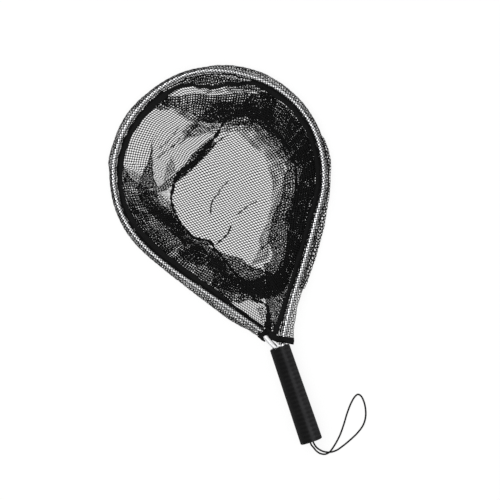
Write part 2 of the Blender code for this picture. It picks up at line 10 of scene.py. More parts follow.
import bpy
import numpy as np
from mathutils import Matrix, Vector

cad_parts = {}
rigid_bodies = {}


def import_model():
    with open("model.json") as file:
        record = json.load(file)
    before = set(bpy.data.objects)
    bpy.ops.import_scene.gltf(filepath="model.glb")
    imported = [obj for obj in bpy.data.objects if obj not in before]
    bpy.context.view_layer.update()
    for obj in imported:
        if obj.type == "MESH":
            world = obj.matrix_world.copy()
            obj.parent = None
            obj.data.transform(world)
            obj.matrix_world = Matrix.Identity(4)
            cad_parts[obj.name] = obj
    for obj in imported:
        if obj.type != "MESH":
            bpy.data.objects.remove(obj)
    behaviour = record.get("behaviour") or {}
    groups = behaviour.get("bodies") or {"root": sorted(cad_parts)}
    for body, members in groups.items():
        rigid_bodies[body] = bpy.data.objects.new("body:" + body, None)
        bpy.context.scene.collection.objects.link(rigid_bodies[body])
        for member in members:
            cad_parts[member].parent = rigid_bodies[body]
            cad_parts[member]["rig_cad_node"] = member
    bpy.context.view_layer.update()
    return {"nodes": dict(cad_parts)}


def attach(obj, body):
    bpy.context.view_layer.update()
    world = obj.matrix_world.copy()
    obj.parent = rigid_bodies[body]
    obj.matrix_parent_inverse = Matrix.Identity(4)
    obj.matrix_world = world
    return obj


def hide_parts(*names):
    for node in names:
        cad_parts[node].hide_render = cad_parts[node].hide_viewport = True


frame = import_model()

MM = 0.001
LENGTH = 0.545
HALF_LENGTH = LENGTH / 2
GRIP_LENGTH = 0.139
BUTT_R, TOP_R = 0.01575, 0.01425
# The grip tapers and lies flush on the floor, so its axis slopes by this angle.
TILT = math.atan((BUTT_R - TOP_R) / GRIP_LENGTH)
TUBE_R, TUBE_WALL = 0.004, 0.001
# The casing's radius round the tube, and how far it is pulled in to the mouth.
CASING_R, PULL = 0.0055, 0.0005
GAP = 0.0003
# The hoop: half its width, the shift of its middle, and its length past the grip.
HALF_HOOP, HOOP_SHIFT = 0.14625, -0.00275
REACH = LENGTH - GRIP_LENGTH - CASING_R - PULL
UP = np.array((0.0, 0.0, 1.0))
rng = np.random.default_rng(7)


# Curves and noise.
def curve(points, closed=False, steps=24):
    """Dense points on a centripetal Catmull-Rom curve through points."""
    p = np.asarray(points, float)
    n = len(p)
    if closed:
        p = np.vstack([p[-1], p, p[0], p[1]])
    else:
        p = np.vstack([2 * p[0] - p[1], p, 2 * p[-1] - p[-2]])
    out = []
    for i in range(n if closed else n - 1):
        q = p[i:i + 4]
        k = np.concatenate([[0], np.cumsum(np.maximum(
            np.linalg.norm(np.diff(q, axis=0), axis=1), 1e-9) ** 0.5)])
        t = (k[1] + (k[2] - k[1]) * np.arange(steps) / steps)[:, None]
        a = [q[j] + (q[j + 1] - q[j]) * (t - k[j]) / (k[j + 1] - k[j])
             for j in range(3)]
        b = [a[j] + (a[j + 1] - a[j]) * (t - k[j]) / (k[j + 2] - k[j])
             for j in range(2)]
        out.append(b[0] + (b[1] - b[0]) * (t - k[1]) / (k[2] - k[1]))
    if not closed:
        out.append(p[-2:-1])
    return np.vstack(out)


def run_of(points):
    return np.concatenate([[0], np.cumsum(
        np.linalg.norm(np.diff(points, axis=0), axis=1))])


def along(points, at):
    """Points at lengths at along a polyline."""
    s = run_of(points)
    return np.stack([np.interp(at, s, points[:, k])
                     for k in range(points.shape[1])], axis=1)


def spaced(points, count, closed=False, start=0.0, end=1.0):
    if closed:
        points = np.vstack([points, points[:1]])
    total = run_of(points)[-1]
    f = np.arange(count) / (count if closed else count - 1)
    return along(points, total * (start + (end - start) * f))


def inward(path, closed=False):
    """Unit vectors square to the path in plan, to the right of its run."""
    if closed:
        d = np.roll(path, -1, 0) - np.roll(path, 1, 0)
    else:
        d = np.gradient(path, axis=0)
    n = np.stack([d[:, 1], -d[:, 0], np.zeros(len(d))], axis=1)
    return n / np.linalg.norm(n, axis=1)[:, None]


def keyed(keys, t):
    """Smooth values between keys of (position, value, ...), for an array t."""
    keys = np.asarray(keys, float)
    t = np.clip(np.asarray(t, float), keys[0, 0], keys[-1, 0])
    i = np.clip(np.searchsorted(keys[:, 0], t, side="right") - 1, 0, len(keys) - 2)
    u = (t - keys[i, 0]) / (keys[i + 1, 0] - keys[i, 0])
    u = u * u * (3 - 2 * u)
    return keys[i, 1:] + (keys[i + 1, 1:] - keys[i, 1:]) * u[..., None]


def waves(count, low, high):
    """Seeded smooth noise of (x, y) in metres: a sum of plane waves."""
    ang = rng.uniform(0, 2 * math.pi, count)
    k = 2 * math.pi / np.exp(rng.uniform(math.log(low), math.log(high), count))
    ph = rng.uniform(0, 2 * math.pi, count)
    amp = 1.0 / math.sqrt(count / 2)

    def f(x, y):
        total = np.zeros(np.broadcast(x, y).shape)
        for a, q, p in zip(ang, k, ph):
            total += np.sin(q * (x * math.cos(a) + y * math.sin(a)) + p)
        return total * amp
    return f


def drift_of(one, two, size):
    """A small shift of places on the cloth, from two noises."""
    def f(ab):
        a, b = ab[:, 0], ab[:, 1]
        return np.stack([one(a, b), two(a, b)], axis=1) * size
    return f


def pressed(values, power):
    """Sines or cosines pressed towards a box by a power below 1."""
    return np.sign(values) * np.abs(values) ** power


def full_turn(count):
    """Angles round a circle."""
    return np.linspace(0, 2 * math.pi, count, endpoint=False)


def plan(points):
    """Plan places in thousandths from the butt, as points of the net's frame."""
    p = np.asarray(points, float)
    if p.shape[1] == 2:
        p = np.column_stack([p, np.zeros(len(p))])
    return p * MM - np.array((0, HALF_LENGTH, 0))


def hoop_plan(route, back=0.0):
    """Places in shares of the hoop's half width and its reach, as points."""
    return [(HOOP_SHIFT + a * HALF_HOOP, GRIP_LENGTH + b * REACH - back, 0.0)
            for a, b in route]


def in_net(p):
    """Points of the tilted tool's frame, in the net's frame."""
    p = np.asarray(p, float)
    c, s = math.cos(TILT), math.sin(TILT)
    return np.stack([p[..., 0], p[..., 1] * c + p[..., 2] * s - HALF_LENGTH,
                     BUTT_R - p[..., 1] * s + p[..., 2] * c], axis=-1)


# Materials.
def preset(node, values):
    """Sets a node's inputs by their names."""
    for name, value in values.items():
        node.inputs[name].default_value = value


def maths(nt, operation, *values):
    """A Math node's output, each input a socket or a number."""
    node = nt.nodes.new("ShaderNodeMath")
    node.operation = operation
    for socket, value in zip(node.inputs, values):
        if isinstance(value, (int, float)):
            socket.default_value = value
        else:
            nt.links.new(value, socket)
    return node.outputs[0]


def material(name, colour, roughness, metallic=0.0, vary=0.25, grain=900.0,
             bump=0.15, weave=None, spec=0.5, painted_light=None):
    """Principled material with colour variation and bump from object space."""
    mat = bpy.data.materials.new(name)
    mat.use_nodes = True
    nt = mat.node_tree
    new, link = nt.nodes.new, nt.links.new
    bsdf = nt.nodes["Principled BSDF"]
    preset(bsdf, {"Metallic": metallic, "Specular IOR Level": spec})
    coord = new("ShaderNodeTexCoord")
    noise = new("ShaderNodeTexNoise")
    preset(noise, {"Scale": grain, "Detail": 3.0})
    link(coord.outputs["Object"], noise.inputs["Vector"])
    broad = new("ShaderNodeTexNoise")
    preset(broad, {"Scale": grain / 30})
    link(coord.outputs["Object"], broad.inputs["Vector"])
    half = maths(nt, "MULTIPLY", broad.outputs["Fac"], 0.5)
    mixed = maths(nt, "MULTIPLY_ADD", noise.outputs["Fac"], 0.5, half)
    ramp = new("ShaderNodeValToRGB")
    for stop, place, factor in zip(ramp.color_ramp.elements, (0.35, 0.65),
                                   (1 - vary, 1 + vary)):
        stop.position = place
        stop.color = (*(min(c * factor, 1.0) for c in colour), 1)
    link(mixed, ramp.inputs["Fac"])
    colour_out = ramp.outputs["Color"]
    # An attribute named here scales the colour; it carries painted light and shade.
    if painted_light:
        shade = new("ShaderNodeAttribute")
        shade.attribute_name = painted_light
        scale = new("ShaderNodeVectorMath")
        scale.operation = "SCALE"
        link(colour_out, scale.inputs[0])
        link(shade.outputs["Fac"], scale.inputs["Scale"])
        colour_out = scale.outputs[0]
    link(colour_out, bsdf.inputs["Base Color"])
    rough = new("ShaderNodeMapRange")
    preset(rough, {"To Min": max(roughness - 0.08, 0.02), "To Max": min(roughness + 0.08, 1)})
    link(noise.outputs["Fac"], rough.inputs["Value"])
    link(rough.outputs["Result"], bsdf.inputs["Roughness"])
    height = noise.outputs["Fac"]
    if weave:
        threads = []
        for direction in ("DIAGONAL", "Y"):
            wave = new("ShaderNodeTexWave")
            wave.wave_type = "BANDS"
            wave.bands_direction = direction
            preset(wave, {"Scale": weave, "Distortion": 1.0, "Detail": 1.0})
            link(coord.outputs["Object"], wave.inputs["Vector"])
            threads.append(wave.outputs["Fac"])
        height = maths(nt, "MULTIPLY_ADD", height, 0.3, maths(nt, "MAXIMUM", *threads))
    node = new("ShaderNodeBump")
    preset(node, {"Strength": bump, "Distance": 0.0003})
    link(height, node.inputs["Height"])
    link(node.outputs["Normal"], bsdf.inputs["Normal"])
    return mat


NET = material("net_black", (0.0055, 0.0055, 0.0057), 0.6, bump=0.1, grain=2500,
               spec=0.1)
FLOOR_NET = material("net_floor_black", (0.006, 0.006, 0.0062), 0.6, bump=0.1,
                     grain=2500, spec=0.12)
CASING_NET = material("net_casing_black", (0.006, 0.006, 0.0062), 0.55, bump=0.1,
                      grain=2500, spec=0.12)
TAPE = material("tape_black", (0.005, 0.005, 0.0052), 0.8, bump=0.5, weave=420.0,
                spec=0.1)
HEM = material("hem_black", (0.005, 0.005, 0.0052), 0.8, bump=0.5, weave=380.0,
               spec=0.1)
SEAM = material("seam_black", (0.0045, 0.0045, 0.0047), 0.85, bump=0.6,
                weave=500.0, spec=0.08)
METAL = material("bright_aluminium", (0.86, 0.865, 0.875), 0.3, metallic=1.0,
                 vary=0.03, grain=600, bump=0.02)
# The foam's colour is scaled by an attribute of painted light and shade, which the grip sets
# below.
FOAM = material("foam_black", (0.012, 0.012, 0.0125), 0.7, bump=0.5, grain=1600,
                vary=0.3, spec=0.1, painted_light="painted_light")
CORE = material("core_grey", (0.10, 0.10, 0.11), 0.5, bump=0.1)
PLUG = material("plug_black", (0.015, 0.015, 0.0155), 0.45, bump=0.12, spec=0.3)
CORD = material("cord_black", (0.006, 0.006, 0.0062), 0.65, bump=0.8, weave=700.0,
                spec=0.15)


# Meshes.
def linked(name, data):
    """A new object of the scene with this data."""
    obj = bpy.data.objects.new(name, data)
    bpy.context.scene.collection.objects.link(obj)
    return obj


def mesh_object(name, mat, verts, quads, tris=(), smooth=True):
    """A mesh piece on the root body from arrays of points and faces."""
    mesh = bpy.data.meshes.new(name)
    verts = np.asarray(verts, np.float32)
    quads = np.asarray(quads, np.int32).reshape(-1, 4)
    tris = np.asarray(tris, np.int32).reshape(-1, 3)
    mesh.vertices.add(len(verts))
    mesh.vertices.foreach_set("co", verts.ravel())
    loops = np.concatenate([quads.ravel(), tris.ravel()])
    mesh.loops.add(len(loops))
    mesh.loops.foreach_set("vertex_index", loops)
    sizes = np.concatenate([np.full(len(quads), 4), np.full(len(tris), 3)])
    starts = np.concatenate([[0], np.cumsum(sizes)[:-1]]).astype(np.int32)
    mesh.polygons.add(len(sizes))
    mesh.polygons.foreach_set("loop_start", starts)
    mesh.update(calc_edges=True)
    mesh.validate()
    mesh.polygons.foreach_set("use_smooth", np.full(len(mesh.polygons), smooth))
    mesh.materials.append(mat)
    return linked(name, mesh)


def swept(rings, closed_run=False):
    """Quads over a run of closed rings (stations, points, 3).

    Returns points, quads and, for an open run, the triangles that close its ends.
    """
    n, m = rings.shape[:2]
    ids = np.arange(n * m).reshape(n, m)
    i = np.arange(n if closed_run else n - 1)[:, None]
    j = np.arange(m)[None, :]
    quads = np.stack([ids[i, j], ids[i, (j + 1) % m],
                      ids[(i + 1) % n, (j + 1) % m], ids[(i + 1) % n, j]],
                     axis=-1).reshape(-1, 4)
    verts = rings.reshape(-1, 3)
    tris = ()
    if not closed_run:
        ends = np.stack([rings[0].mean(0), rings[-1].mean(0)])
        verts = np.vstack([verts, ends])
        k = np.arange(m)
        first = np.stack([np.full(m, n * m), (k + 1) % m, k], axis=1)
        last = np.stack([np.full(m, n * m + 1), ids[-1, k], ids[-1, (k + 1) % m]], axis=1)
        tris = np.vstack([first, last])
    return verts, quads, tris


def placed(path, normals, sections):
    """Section points (stations, points, 2) of (in, up) square to a flat path."""
    return (path[:, None, :] + normals[:, None, :] * sections[..., 0:1]
            + UP * sections[..., 1:2])


def round_hoop(path, section):
    """What swept returns for a section along a path in the hoop's tilted plane."""
    return swept(in_net(placed(path, inward(path), section)))


# A mesh cell's rim in half cells, and half the thickness of a strand.
RIM = np.array([(0, 0), (1, 0), (2, 0), (2, 1), (2, 2), (1, 2), (0, 2), (0, 1)])
HALF_STRAND = 0.22 * MM
# The bag's mesh, and the thinner strands of a single sheet.
PITCH, STRAND, THIN_STRAND = 3.5 * MM, 0.8 * MM, 0.6 * MM


def netting(grid, wide, deep, angle, skew, pitch=PITCH, strand=STRAND, corner=0.78,
            keep=None, warp=None):
    """Square-mesh netting on a surface.

    grid is (stations, samples, 3), even along the cloth. wide is the cloth's
    size along the stations and deep its size across, one number or one each.
    Strands run at angle and angle + skew degrees. corner says how far a hole
    reaches into its corners, keep which of the cells' middles stay, and warp
    how the cells shift. Returns points and quads.
    """
    na, nb = grid.shape[:2]
    deep = np.broadcast_to(np.asarray(deep, float), (na,))
    du, dv = np.gradient(grid, axis=0), np.gradient(grid, axis=1)
    normal = np.cross(du, dv)
    normal /= np.maximum(np.linalg.norm(normal, axis=2), 1e-12)[..., None]
    t1, t2 = math.radians(angle), math.radians(angle + skew)
    basis = pitch * np.array([[math.cos(t1), math.cos(t2)],
                              [math.sin(t1), math.sin(t2)]])
    top = deep.max()
    corners = np.linalg.solve(basis, np.array([[0, wide, 0, wide], [0, 0, top, top]]))
    lo, hi = np.floor(corners.min(1)).astype(int), np.ceil(corners.max(1)).astype(int)
    i, j = np.meshgrid(np.arange(lo[0], hi[0] + 1), np.arange(lo[1], hi[1] + 1),
                       indexing="ij")
    cells = np.stack([i.ravel(), j.ravel()], axis=1)

    def cloth(ij):
        ab = ij @ basis.T
        return ab + warp(ab) if warp is not None else ab

    def depth_at(x):
        return np.interp(x, np.linspace(0, wide, na), deep)

    def inside(ab):
        x, y = ab[:, 0], ab[:, 1]
        return (x >= 0) & (x <= wide) & (y >= 0) & (y <= depth_at(x))

    def trimmed(ab):
        x = np.clip(ab[:, 0], 0, wide)
        return np.stack([x, np.clip(ab[:, 1], 0, depth_at(x))], axis=1)

    def look(ab, table):
        u = np.clip(ab[:, 0] / wide, 0, 1) * (na - 1)
        v = np.clip(ab[:, 1] / np.maximum(depth_at(ab[:, 0]), 1e-9), 0, 1) * (nb - 1)
        u0 = np.minimum(u.astype(int), na - 2)
        v0 = np.minimum(v.astype(int), nb - 2)
        fu, fv = (u - u0)[:, None], (v - v0)[:, None]
        return ((table[u0, v0] * (1 - fu) + table[u0 + 1, v0] * fu) * (1 - fv)
                + (table[u0, v0 + 1] * (1 - fu) + table[u0 + 1, v0 + 1] * fu) * fv)

    cells = cells[inside(cloth(cells + 0.5))]
    if keep is not None:
        cells = cells[keep(look(cloth(cells + 0.5), grid))]
    rim = (cells[:, None, :] * 2 + RIM[None]).reshape(-1, 2)
    base = rim.min(0)
    span = rim[:, 1].max() - base[1] + 1
    code = (rim[:, 0] - base[0]) * span + rim[:, 1] - base[1]
    uniq, back, uses = np.unique(code, return_inverse=True, return_counts=True)
    at = np.stack([uniq // span + base[0], uniq % span + base[1]], axis=1)
    full = np.where((at[:, 0] % 2 == 0) & (at[:, 1] % 2 == 0), 4, 2)
    ab = trimmed(cloth(at / 2.0))
    pos, nor = look(ab, grid), look(ab, normal)
    nor /= np.maximum(np.linalg.norm(nor, axis=1), 1e-9)[:, None]
    inner_ok = uses >= full
    n = len(uniq)
    upper = pos + nor * HALF_STRAND * inner_ok[:, None]
    lower = pos - nor * HALF_STRAND
    lower_id = np.where(inner_ok, n + np.cumsum(inner_ok) - 1, np.arange(n))
    verts = [upper, lower[inner_ok]]
    hole = (RIM - 1) * np.where((RIM % 2 == 0).all(1), corner, 1.0)[:, None]
    hole = cells[:, None, :] + 0.5 + hole[None] * (1 - strand / pitch) / 2
    hole = trimmed(cloth(hole.reshape(-1, 2)))
    start = n + int(inner_ok.sum())
    verts.append(look(hole, grid))
    m = len(cells)
    outer_up = back.reshape(m, 8)
    outer_low = lower_id[outer_up]
    inner = start + np.arange(m * 8).reshape(m, 8)
    nxt = np.roll(np.arange(8), -1)
    upq = np.stack([outer_up, outer_up[:, nxt], inner[:, nxt], inner], axis=-1)
    loq = np.stack([outer_low[:, nxt], outer_low, inner, inner[:, nxt]], axis=-1)
    return np.vstack(verts), np.concatenate([upq, loq]).reshape(-1, 4)


def joined(parts):
    """Several (points, quads) as one."""
    verts, quads, n = [], [], 0
    for v, q in parts:
        verts.append(v)
        quads.append(q + n)
        n += len(v)
    return np.vstack(verts), np.vstack(quads)


def even(grid, count=None):
    """Each station's samples put at even lengths, and the stations' lengths."""
    size = np.array([run_of(row)[-1] for row in grid])
    rows = [along(row, np.linspace(0, end, count or len(row)))
            for row, end in zip(grid, size)]
    return np.stack(rows), size


# The tube.
HOOP_ROUTE = (
    (-0.06, 0.033), (-0.096, 0.068), (-0.188, 0.118), (-0.309, 0.178), (-0.518, 0.278),
    (-0.72, 0.378), (-0.884, 0.476), (-0.976, 0.566), (-1, 0.653), (-0.966, 0.736),
    (-0.888, 0.808), (-0.742, 0.879), (-0.528, 0.942), (-0.262, 0.986), (0.019, 1),
    (0.292, 0.982), (0.566, 0.929), (0.771, 0.862), (0.908, 0.786), (0.981, 0.708), (1, 0.633),
    (0.976, 0.556), (0.894, 0.468), (0.732, 0.376), (0.552, 0.278), (0.36, 0.18), (0.243, 0.12),
    (0.156, 0.07), (0.092, 0.03),
)
# The legs: how far each lies from the axis, and how deep it goes into the grip.
LEG_X, LEG_DEPTH, LEG_STEP = 0.0055, 0.092, 0.0015
leg_y = [GRIP_LENGTH - d for d in (LEG_DEPTH, LEG_STEP, 0.0)]
left = [(-LEG_X, y, 0.0) for y in leg_y]
right = [(LEG_X, y, 0.0) for y in leg_y[::-1]]
STEPS = 24
outside = curve(left[1:] + hoop_plan(HOOP_ROUTE) + right[:2], steps=STEPS)
outside = outside[STEPS:1 - STEPS]
# The casing's run, in shares of the tube outside the grip.
CASING_START, CASING_END = 0.022, 0.994
casing_path = spaced(outside, 900, False, CASING_START, CASING_END)
casing_in = inward(casing_path)
casing_len = run_of(casing_path)[-1]

tube_path = np.vstack([spaced(np.array([left[0], outside[0]]), 24)[:-1],
                       spaced(outside, 420),
                       spaced(np.array([outside[-1], right[-1]]), 24)[1:]])
SIDES = 40
a = 2 * math.pi * np.arange(SIDES) / SIDES
ring = np.stack([np.cos(a), np.sin(a)], axis=1)
outer, inner = [placed(tube_path, inward(tube_path), np.tile(ring * r, (len(tube_path), 1, 1)))
                for r in (TUBE_R, TUBE_R - TUBE_WALL)]
tube = mesh_object("tube_hoop", METAL,
                   *swept(in_net(np.concatenate([outer, inner[::-1]])), closed_run=True))

# The casing.
# The tape's place round the hoop, in thousandths: how far inside the tube's
# middle, and how wide.
TAPE_KEYS = (
    (0, 4.4, 3.4), (0.05, 4.2, 3.8), (0.1, 4.4, 7.4), (0.16, 4.4, 8.6), (0.2, 4.6, 8.8),
    (0.24, 4.8, 8), (0.28, 5.2, 7.2), (0.33, 6, 7.6), (0.4, 6.2, 8.2), (0.425, 6.4, 10.4),
    (0.445, 6.6, 9.4), (0.476, 8.1, 6.2), (0.497, 12.2, 5.4), (0.51, 18.2, 5.4), (0.534, 21, 5.4),
    (0.566, 13.2, 5.6), (0.594, 4.6, 6.5), (0.62, 4.4, 7.5), (0.66, 4.4, 7.5), (0.74, 4.4, 7),
    (0.86, 4.8, 6.5), (0.94, 5, 6.4), (0.965, 6.2, 6.4), (0.985, 7.8, 6), (1, 8.8, 5.6),
)


def tape_at(t):
    k = keyed(TAPE_KEYS, t) * MM
    return k[..., 0], k[..., 1]


# How far the casing's outer edge lies from the tube's middle, in thousandths.
REACH_KEYS = (
    (0, 7.1), (0.02, 8.6), (0.04, 11.3), (0.06, 12.3), (0.08, 11), (0.1, 9.8), (0.12, 8.6),
    (0.14, 7), (0.18, 5.9), (0.22, 6.3), (0.26, 5.5), (0.3, 4.7), (0.318, 4.7), (0.332, 7),
    (0.36, 6.4), (0.38, 7.3), (0.4, 7.6), (0.42, 6.6), (0.44, 5), (0.46, 4.6), (0.52, 4.6),
    (0.54, 6.6), (0.56, 8.4), (0.58, 9.2), (0.6, 9.3), (0.62, 8.4), (0.65, 7.4), (0.7, 6.2),
    (0.74, 6), (0.86, 6.4), (0.9, 7.6), (0.92, 9), (0.94, 8.6), (0.96, 9.9), (0.98, 11.5),
    (1, 14.4),
)
# The casing's netting is finer than the bag's.
CASING_MESH = {"pitch": 3.4 * MM, "strand": 0.62 * MM, "corner": 0.88}
ripple = waves(9, 0.012, 0.05)


def on_casing(t):
    """Lengths and places at shares t of the casing's run."""
    return t * casing_len, along(casing_path, t * casing_len)


def slack_at(t):
    """How far the casing stands off past its own radius."""
    return keyed(REACH_KEYS, t)[..., 0] * MM - CASING_R - PULL


def casing_section(t, grow, count=72):
    """Loops round the tube, from the mouth side over the top and back."""
    s = t * casing_len
    r = CASING_R + grow
    tail = np.maximum(tape_at(t)[0] + 0.8 * MM, 4.4 * MM) + grow
    ang = np.radians(np.linspace(48, 312, 27))
    u = -PULL + r * np.cos(ang) - np.outer(slack_at(t), np.maximum(0, -np.cos(ang)))
    w = np.tile(r * np.sin(ang), (len(t), 1))
    bulge = 1 + 0.05 * ripple(s[:, None], ang[None, :] * 0.01)
    u, w = u * bulge, w * bulge
    mid = np.minimum(tail - 0.2 * MM, 5.0 * MM + grow)
    head = np.stack([np.stack([tail, np.full_like(t, 0.2 * MM)], 1),
                     np.stack([mid, np.full_like(t, 0.9 * MM)], 1)], 1)
    foot = head[:, ::-1] * np.array([1, -1])
    return even(np.concatenate([head, np.stack([u, w], axis=2), foot], axis=1), count)[0]


t_case = np.linspace(0, 1, len(casing_path))
case_grid, case_deep = even(in_net(placed(casing_path, casing_in,
                                          casing_section(t_case, 0.0))))
case_warp = drift_of(waves(8, 0.02, 0.09), waves(8, 0.02, 0.09), 0.12 * MM)
casing = mesh_object("casing_netting", CASING_NET, *netting(
    case_grid, casing_len, case_deep, angle=28, skew=84, warp=case_warp, **CASING_MESH))

# Hems round the casing's two ends: their share of its run, stations and points.
HEM_SHARE, HEM_STEPS, HEM_POINTS = 0.0062, 14, 90
bindings = []
for name, begin, stop in (("left", 0.0, HEM_SHARE), ("right", 1.0, 1 - HEM_SHARE)):
    t = np.linspace(begin, stop, HEM_STEPS)
    path = on_casing(t)[1]
    nrm = casing_in[(t * (len(casing_path) - 1)).astype(int)]
    puff = np.sin(np.linspace(0, math.pi, HEM_STEPS)) ** 0.5
    big = np.stack([casing_section(np.array([x]), GAP + (0.25 + 0.6 * y) * MM, HEM_POINTS)[0]
                    for x, y in zip(t, puff)])
    small = casing_section(t, GAP * 0.4, HEM_POINTS)
    loop = np.concatenate([placed(path, nrm, big), placed(path, nrm, small)[::-1]])
    bindings.append(mesh_object("hem_band_" + name, HEM, *swept(in_net(loop), True)))

# The tape.
TAPE_THICK, TAPE_START, TAPE_END = 0.0012, 0.0078, 0.9922
tape_t = np.linspace(TAPE_START, TAPE_END, 1000)
s, tape_path = on_casing(tape_t)
near, width = tape_at(tape_t)
tw, tz = waves(7, 0.015, 0.06), waves(7, 0.02, 0.08)
width = width + 0.35 * MM * tw(s, 0)
lift = 0.3 * MM * tz(s, 0.1)
k = full_turn(24)
sec = np.empty((len(tape_t), len(k), 2))
sec[..., 0] = (near + width / 2)[:, None] + (width / 2)[:, None] * pressed(np.cos(k), 0.5)
sec[..., 1] = TAPE_THICK / 2 * pressed(np.sin(k), 0.8) + lift[:, None]
tape = mesh_object("mouth_binding", TAPE, *round_hoop(tape_path, sec))

# Slack cloth of the casing lies doubled over the tube's outer shoulder.
slack_t = np.linspace(0.002, 0.93, 1000)
s, slack_path = on_casing(slack_t)
slack_w = waves(7, 0.02, 0.08)
loose = slack_at(slack_t)[:, None]
# Where it starts round the tube, in degrees from the mouth's side.
SLACK_KEYS = ((0.0, 114), (0.70, 116), (0.76, 134), (0.93, 140))
start = keyed(SLACK_KEYS, slack_t)[:, 0] + 5 * slack_w(s, 0)
bend = np.radians(np.linspace(start, 181, 9, axis=1))
sides = [np.stack([-PULL + (r + loose) * np.cos(bend), r * np.sin(bend)], axis=2)
         for r in (CASING_R + 0.25 * MM, CASING_R + 0.65 * MM)]
sec = np.concatenate([sides[0], sides[1][:, ::-1]], axis=1)
slack_grid, slack_deep = even(in_net(placed(slack_path, inward(slack_path), sec)))
slack_len = casing_len * (slack_t[-1] - slack_t[0])
slack = mesh_object("casing_slack", CASING_NET, *netting(
    slack_grid, slack_len, slack_deep, angle=22, skew=80, warp=case_warp, **CASING_MESH))

# The casing's own closing seam lies along the tube's inner side.
close_t = np.linspace(0.004, 0.996, 1100)
s, close_path = on_casing(close_t)
sway, swell = waves(8, 0.008, 0.05), waves(8, 0.006, 0.03)
CLOSE_KEYS = ((0.0, 4.4), (0.24, 4.6), (0.30, 6.0), (0.50, 6.0), (0.58, 4.8), (0.66, 4.4),
              (0.72, 5.4), (1.0, 5.6))
CLOSE_HALF, CLOSE_THICK, CLOSE_HEIGHT, CLOSE_LEAN = 1.2 * MM, 0.45 * MM, 2.6 * MM, -0.7
mid_u = keyed(CLOSE_KEYS, close_t)[:, 0] * MM + 0.35 * MM * sway(s, 0)
half_u = CLOSE_HALF * (1 + 0.2 * swell(s, 0))
k = full_turn(14)
cos_k, sin_k = np.cos(k) * half_u[:, None], CLOSE_THICK * np.sin(k)
c, s = math.cos(CLOSE_LEAN), math.sin(CLOSE_LEAN)
sec = np.stack([mid_u[:, None] + cos_k * c - sin_k * s,
                CLOSE_HEIGHT + cos_k * s + sin_k * c], axis=2)
closing = mesh_object("casing_closing_seam", SEAM, *round_hoop(close_path, sec))

# The wall.
t = np.linspace(TAPE_START, TAPE_END, 300)
path = on_casing(t)[1]
mouth = in_net(path + inward(path) * (tape_at(t)[0] + tape_at(t)[1] * 0.5)[:, None])
mouth = curve(mouth, True, 4)
FLOOR_ROUTE = (
    (0.075, 0.215), (-0.06, 0.232), (-0.15, 0.285), (-0.205, 0.34), (-0.26, 0.392), (-0.3, 0.428),
    (-0.405, 0.45), (-0.478, 0.498), (-0.512, 0.548), (-0.516, 0.59), (-0.478, 0.632),
    (-0.392, 0.672), (-0.29, 0.694), (-0.16, 0.704), (-0.04, 0.738), (0.085, 0.762),
    (0.165, 0.79), (0.24, 0.812), (0.42, 0.8), (0.57, 0.76), (0.66, 0.7), (0.72, 0.625),
    (0.7, 0.55), (0.62, 0.48), (0.52, 0.41), (0.43, 0.345), (0.35, 0.28), (0.24, 0.23),
)
floor_edge = curve(hoop_plan(FLOOR_ROUTE, HALF_LENGTH), True)
# How far the wall's foot on the floor runs ahead of its place round the mouth.
LEAD_KEYS = ((0.0, 0.0), (0.75, 0.0), (0.80, 0.012), (0.85, 0.02), (0.90, 0.04),
             (0.95, 0.035), (1.0, 0.0))
# The wall's folds round the mouth, in thousandths in from the mouth's edge:
# first inner turn, first outer turn, second inner turn, second outer turn.
WALL_KEYS = (
    (0, 78, 40, 76, 42), (0.016, 76, 24, 62, 33), (0.031, 70, 20, 48, 26), (0.047, 67, 8, 40, 20),
    (0.063, 63, 1, 36, 12), (0.078, 60, 0, 34, 9), (0.094, 58, 0, 33, 4), (0.11, 57, 1, 46, 22),
    (0.125, 57, 1, 44, 22), (0.141, 56, 1, 42, 14), (0.157, 57, 1, 46, 12),
    (0.172, 58, 1, 48, 17), (0.188, 58, 1, 50, 37), (0.204, 60, 1, 53, 40),
    (0.219, 61, 2, 58, 38), (0.235, 64, 3, 62, 35), (0.251, 66, 3, 64, 33),
    (0.266, 66, 3, 56, 26), (0.282, 55, 3, 43, 24), (0.298, 55, 1, 36, 26),
    (0.313, 16, 1, 56, 30), (0.33, 4, 2, 49, 34), (0.346, 3, 2.6, 45, 36),
    (0.362, 3, 2.8, 40, 35), (0.38, 3, 2.8, 33, 31), (0.4, 3, 2.8, 30, 29.7),
    (0.545, 30, 29.7, 32, 31.7), (0.578, 70, 12, 54, 26), (0.595, 70, 4, 55, 6),
    (0.61, 70, 1, 56, 5), (0.626, 68, -2, 52, 5), (0.641, 66, -4, 47, 5), (0.657, 63, -6, 46, 5),
    (0.673, 59, -8, 47, 4), (0.69, 54, -11, 45, 4), (0.706, 50, -19, 39, 3),
    (0.719, 48, -20, 32, 3), (0.732, 50, -20.5, 26, 2), (0.75, 51, -17.5, 28, 2),
    (0.772, 51, -19, 31, 2), (0.795, 50, -21.5, 30, 2), (0.815, 51, -23, 33, 2),
    (0.838, 55, -23.3, 30, 2), (0.858, 60, -25.3, 27, 2), (0.876, 62, -26.5, 28, 0),
    (0.892, 63, -25, 30, 2), (0.905, 62, -13, 34, 4), (0.924, 60, 1, 41, 9),
    (0.938, 63, 3, 47, 16), (0.953, 74, 4, 66, 29), (0.969, 82, 4, 74, 41),
    (0.982, 84, 5, 80, 47), (0.994, 80, 30, 77, 44), (1, 78, 40, 76, 42),
)
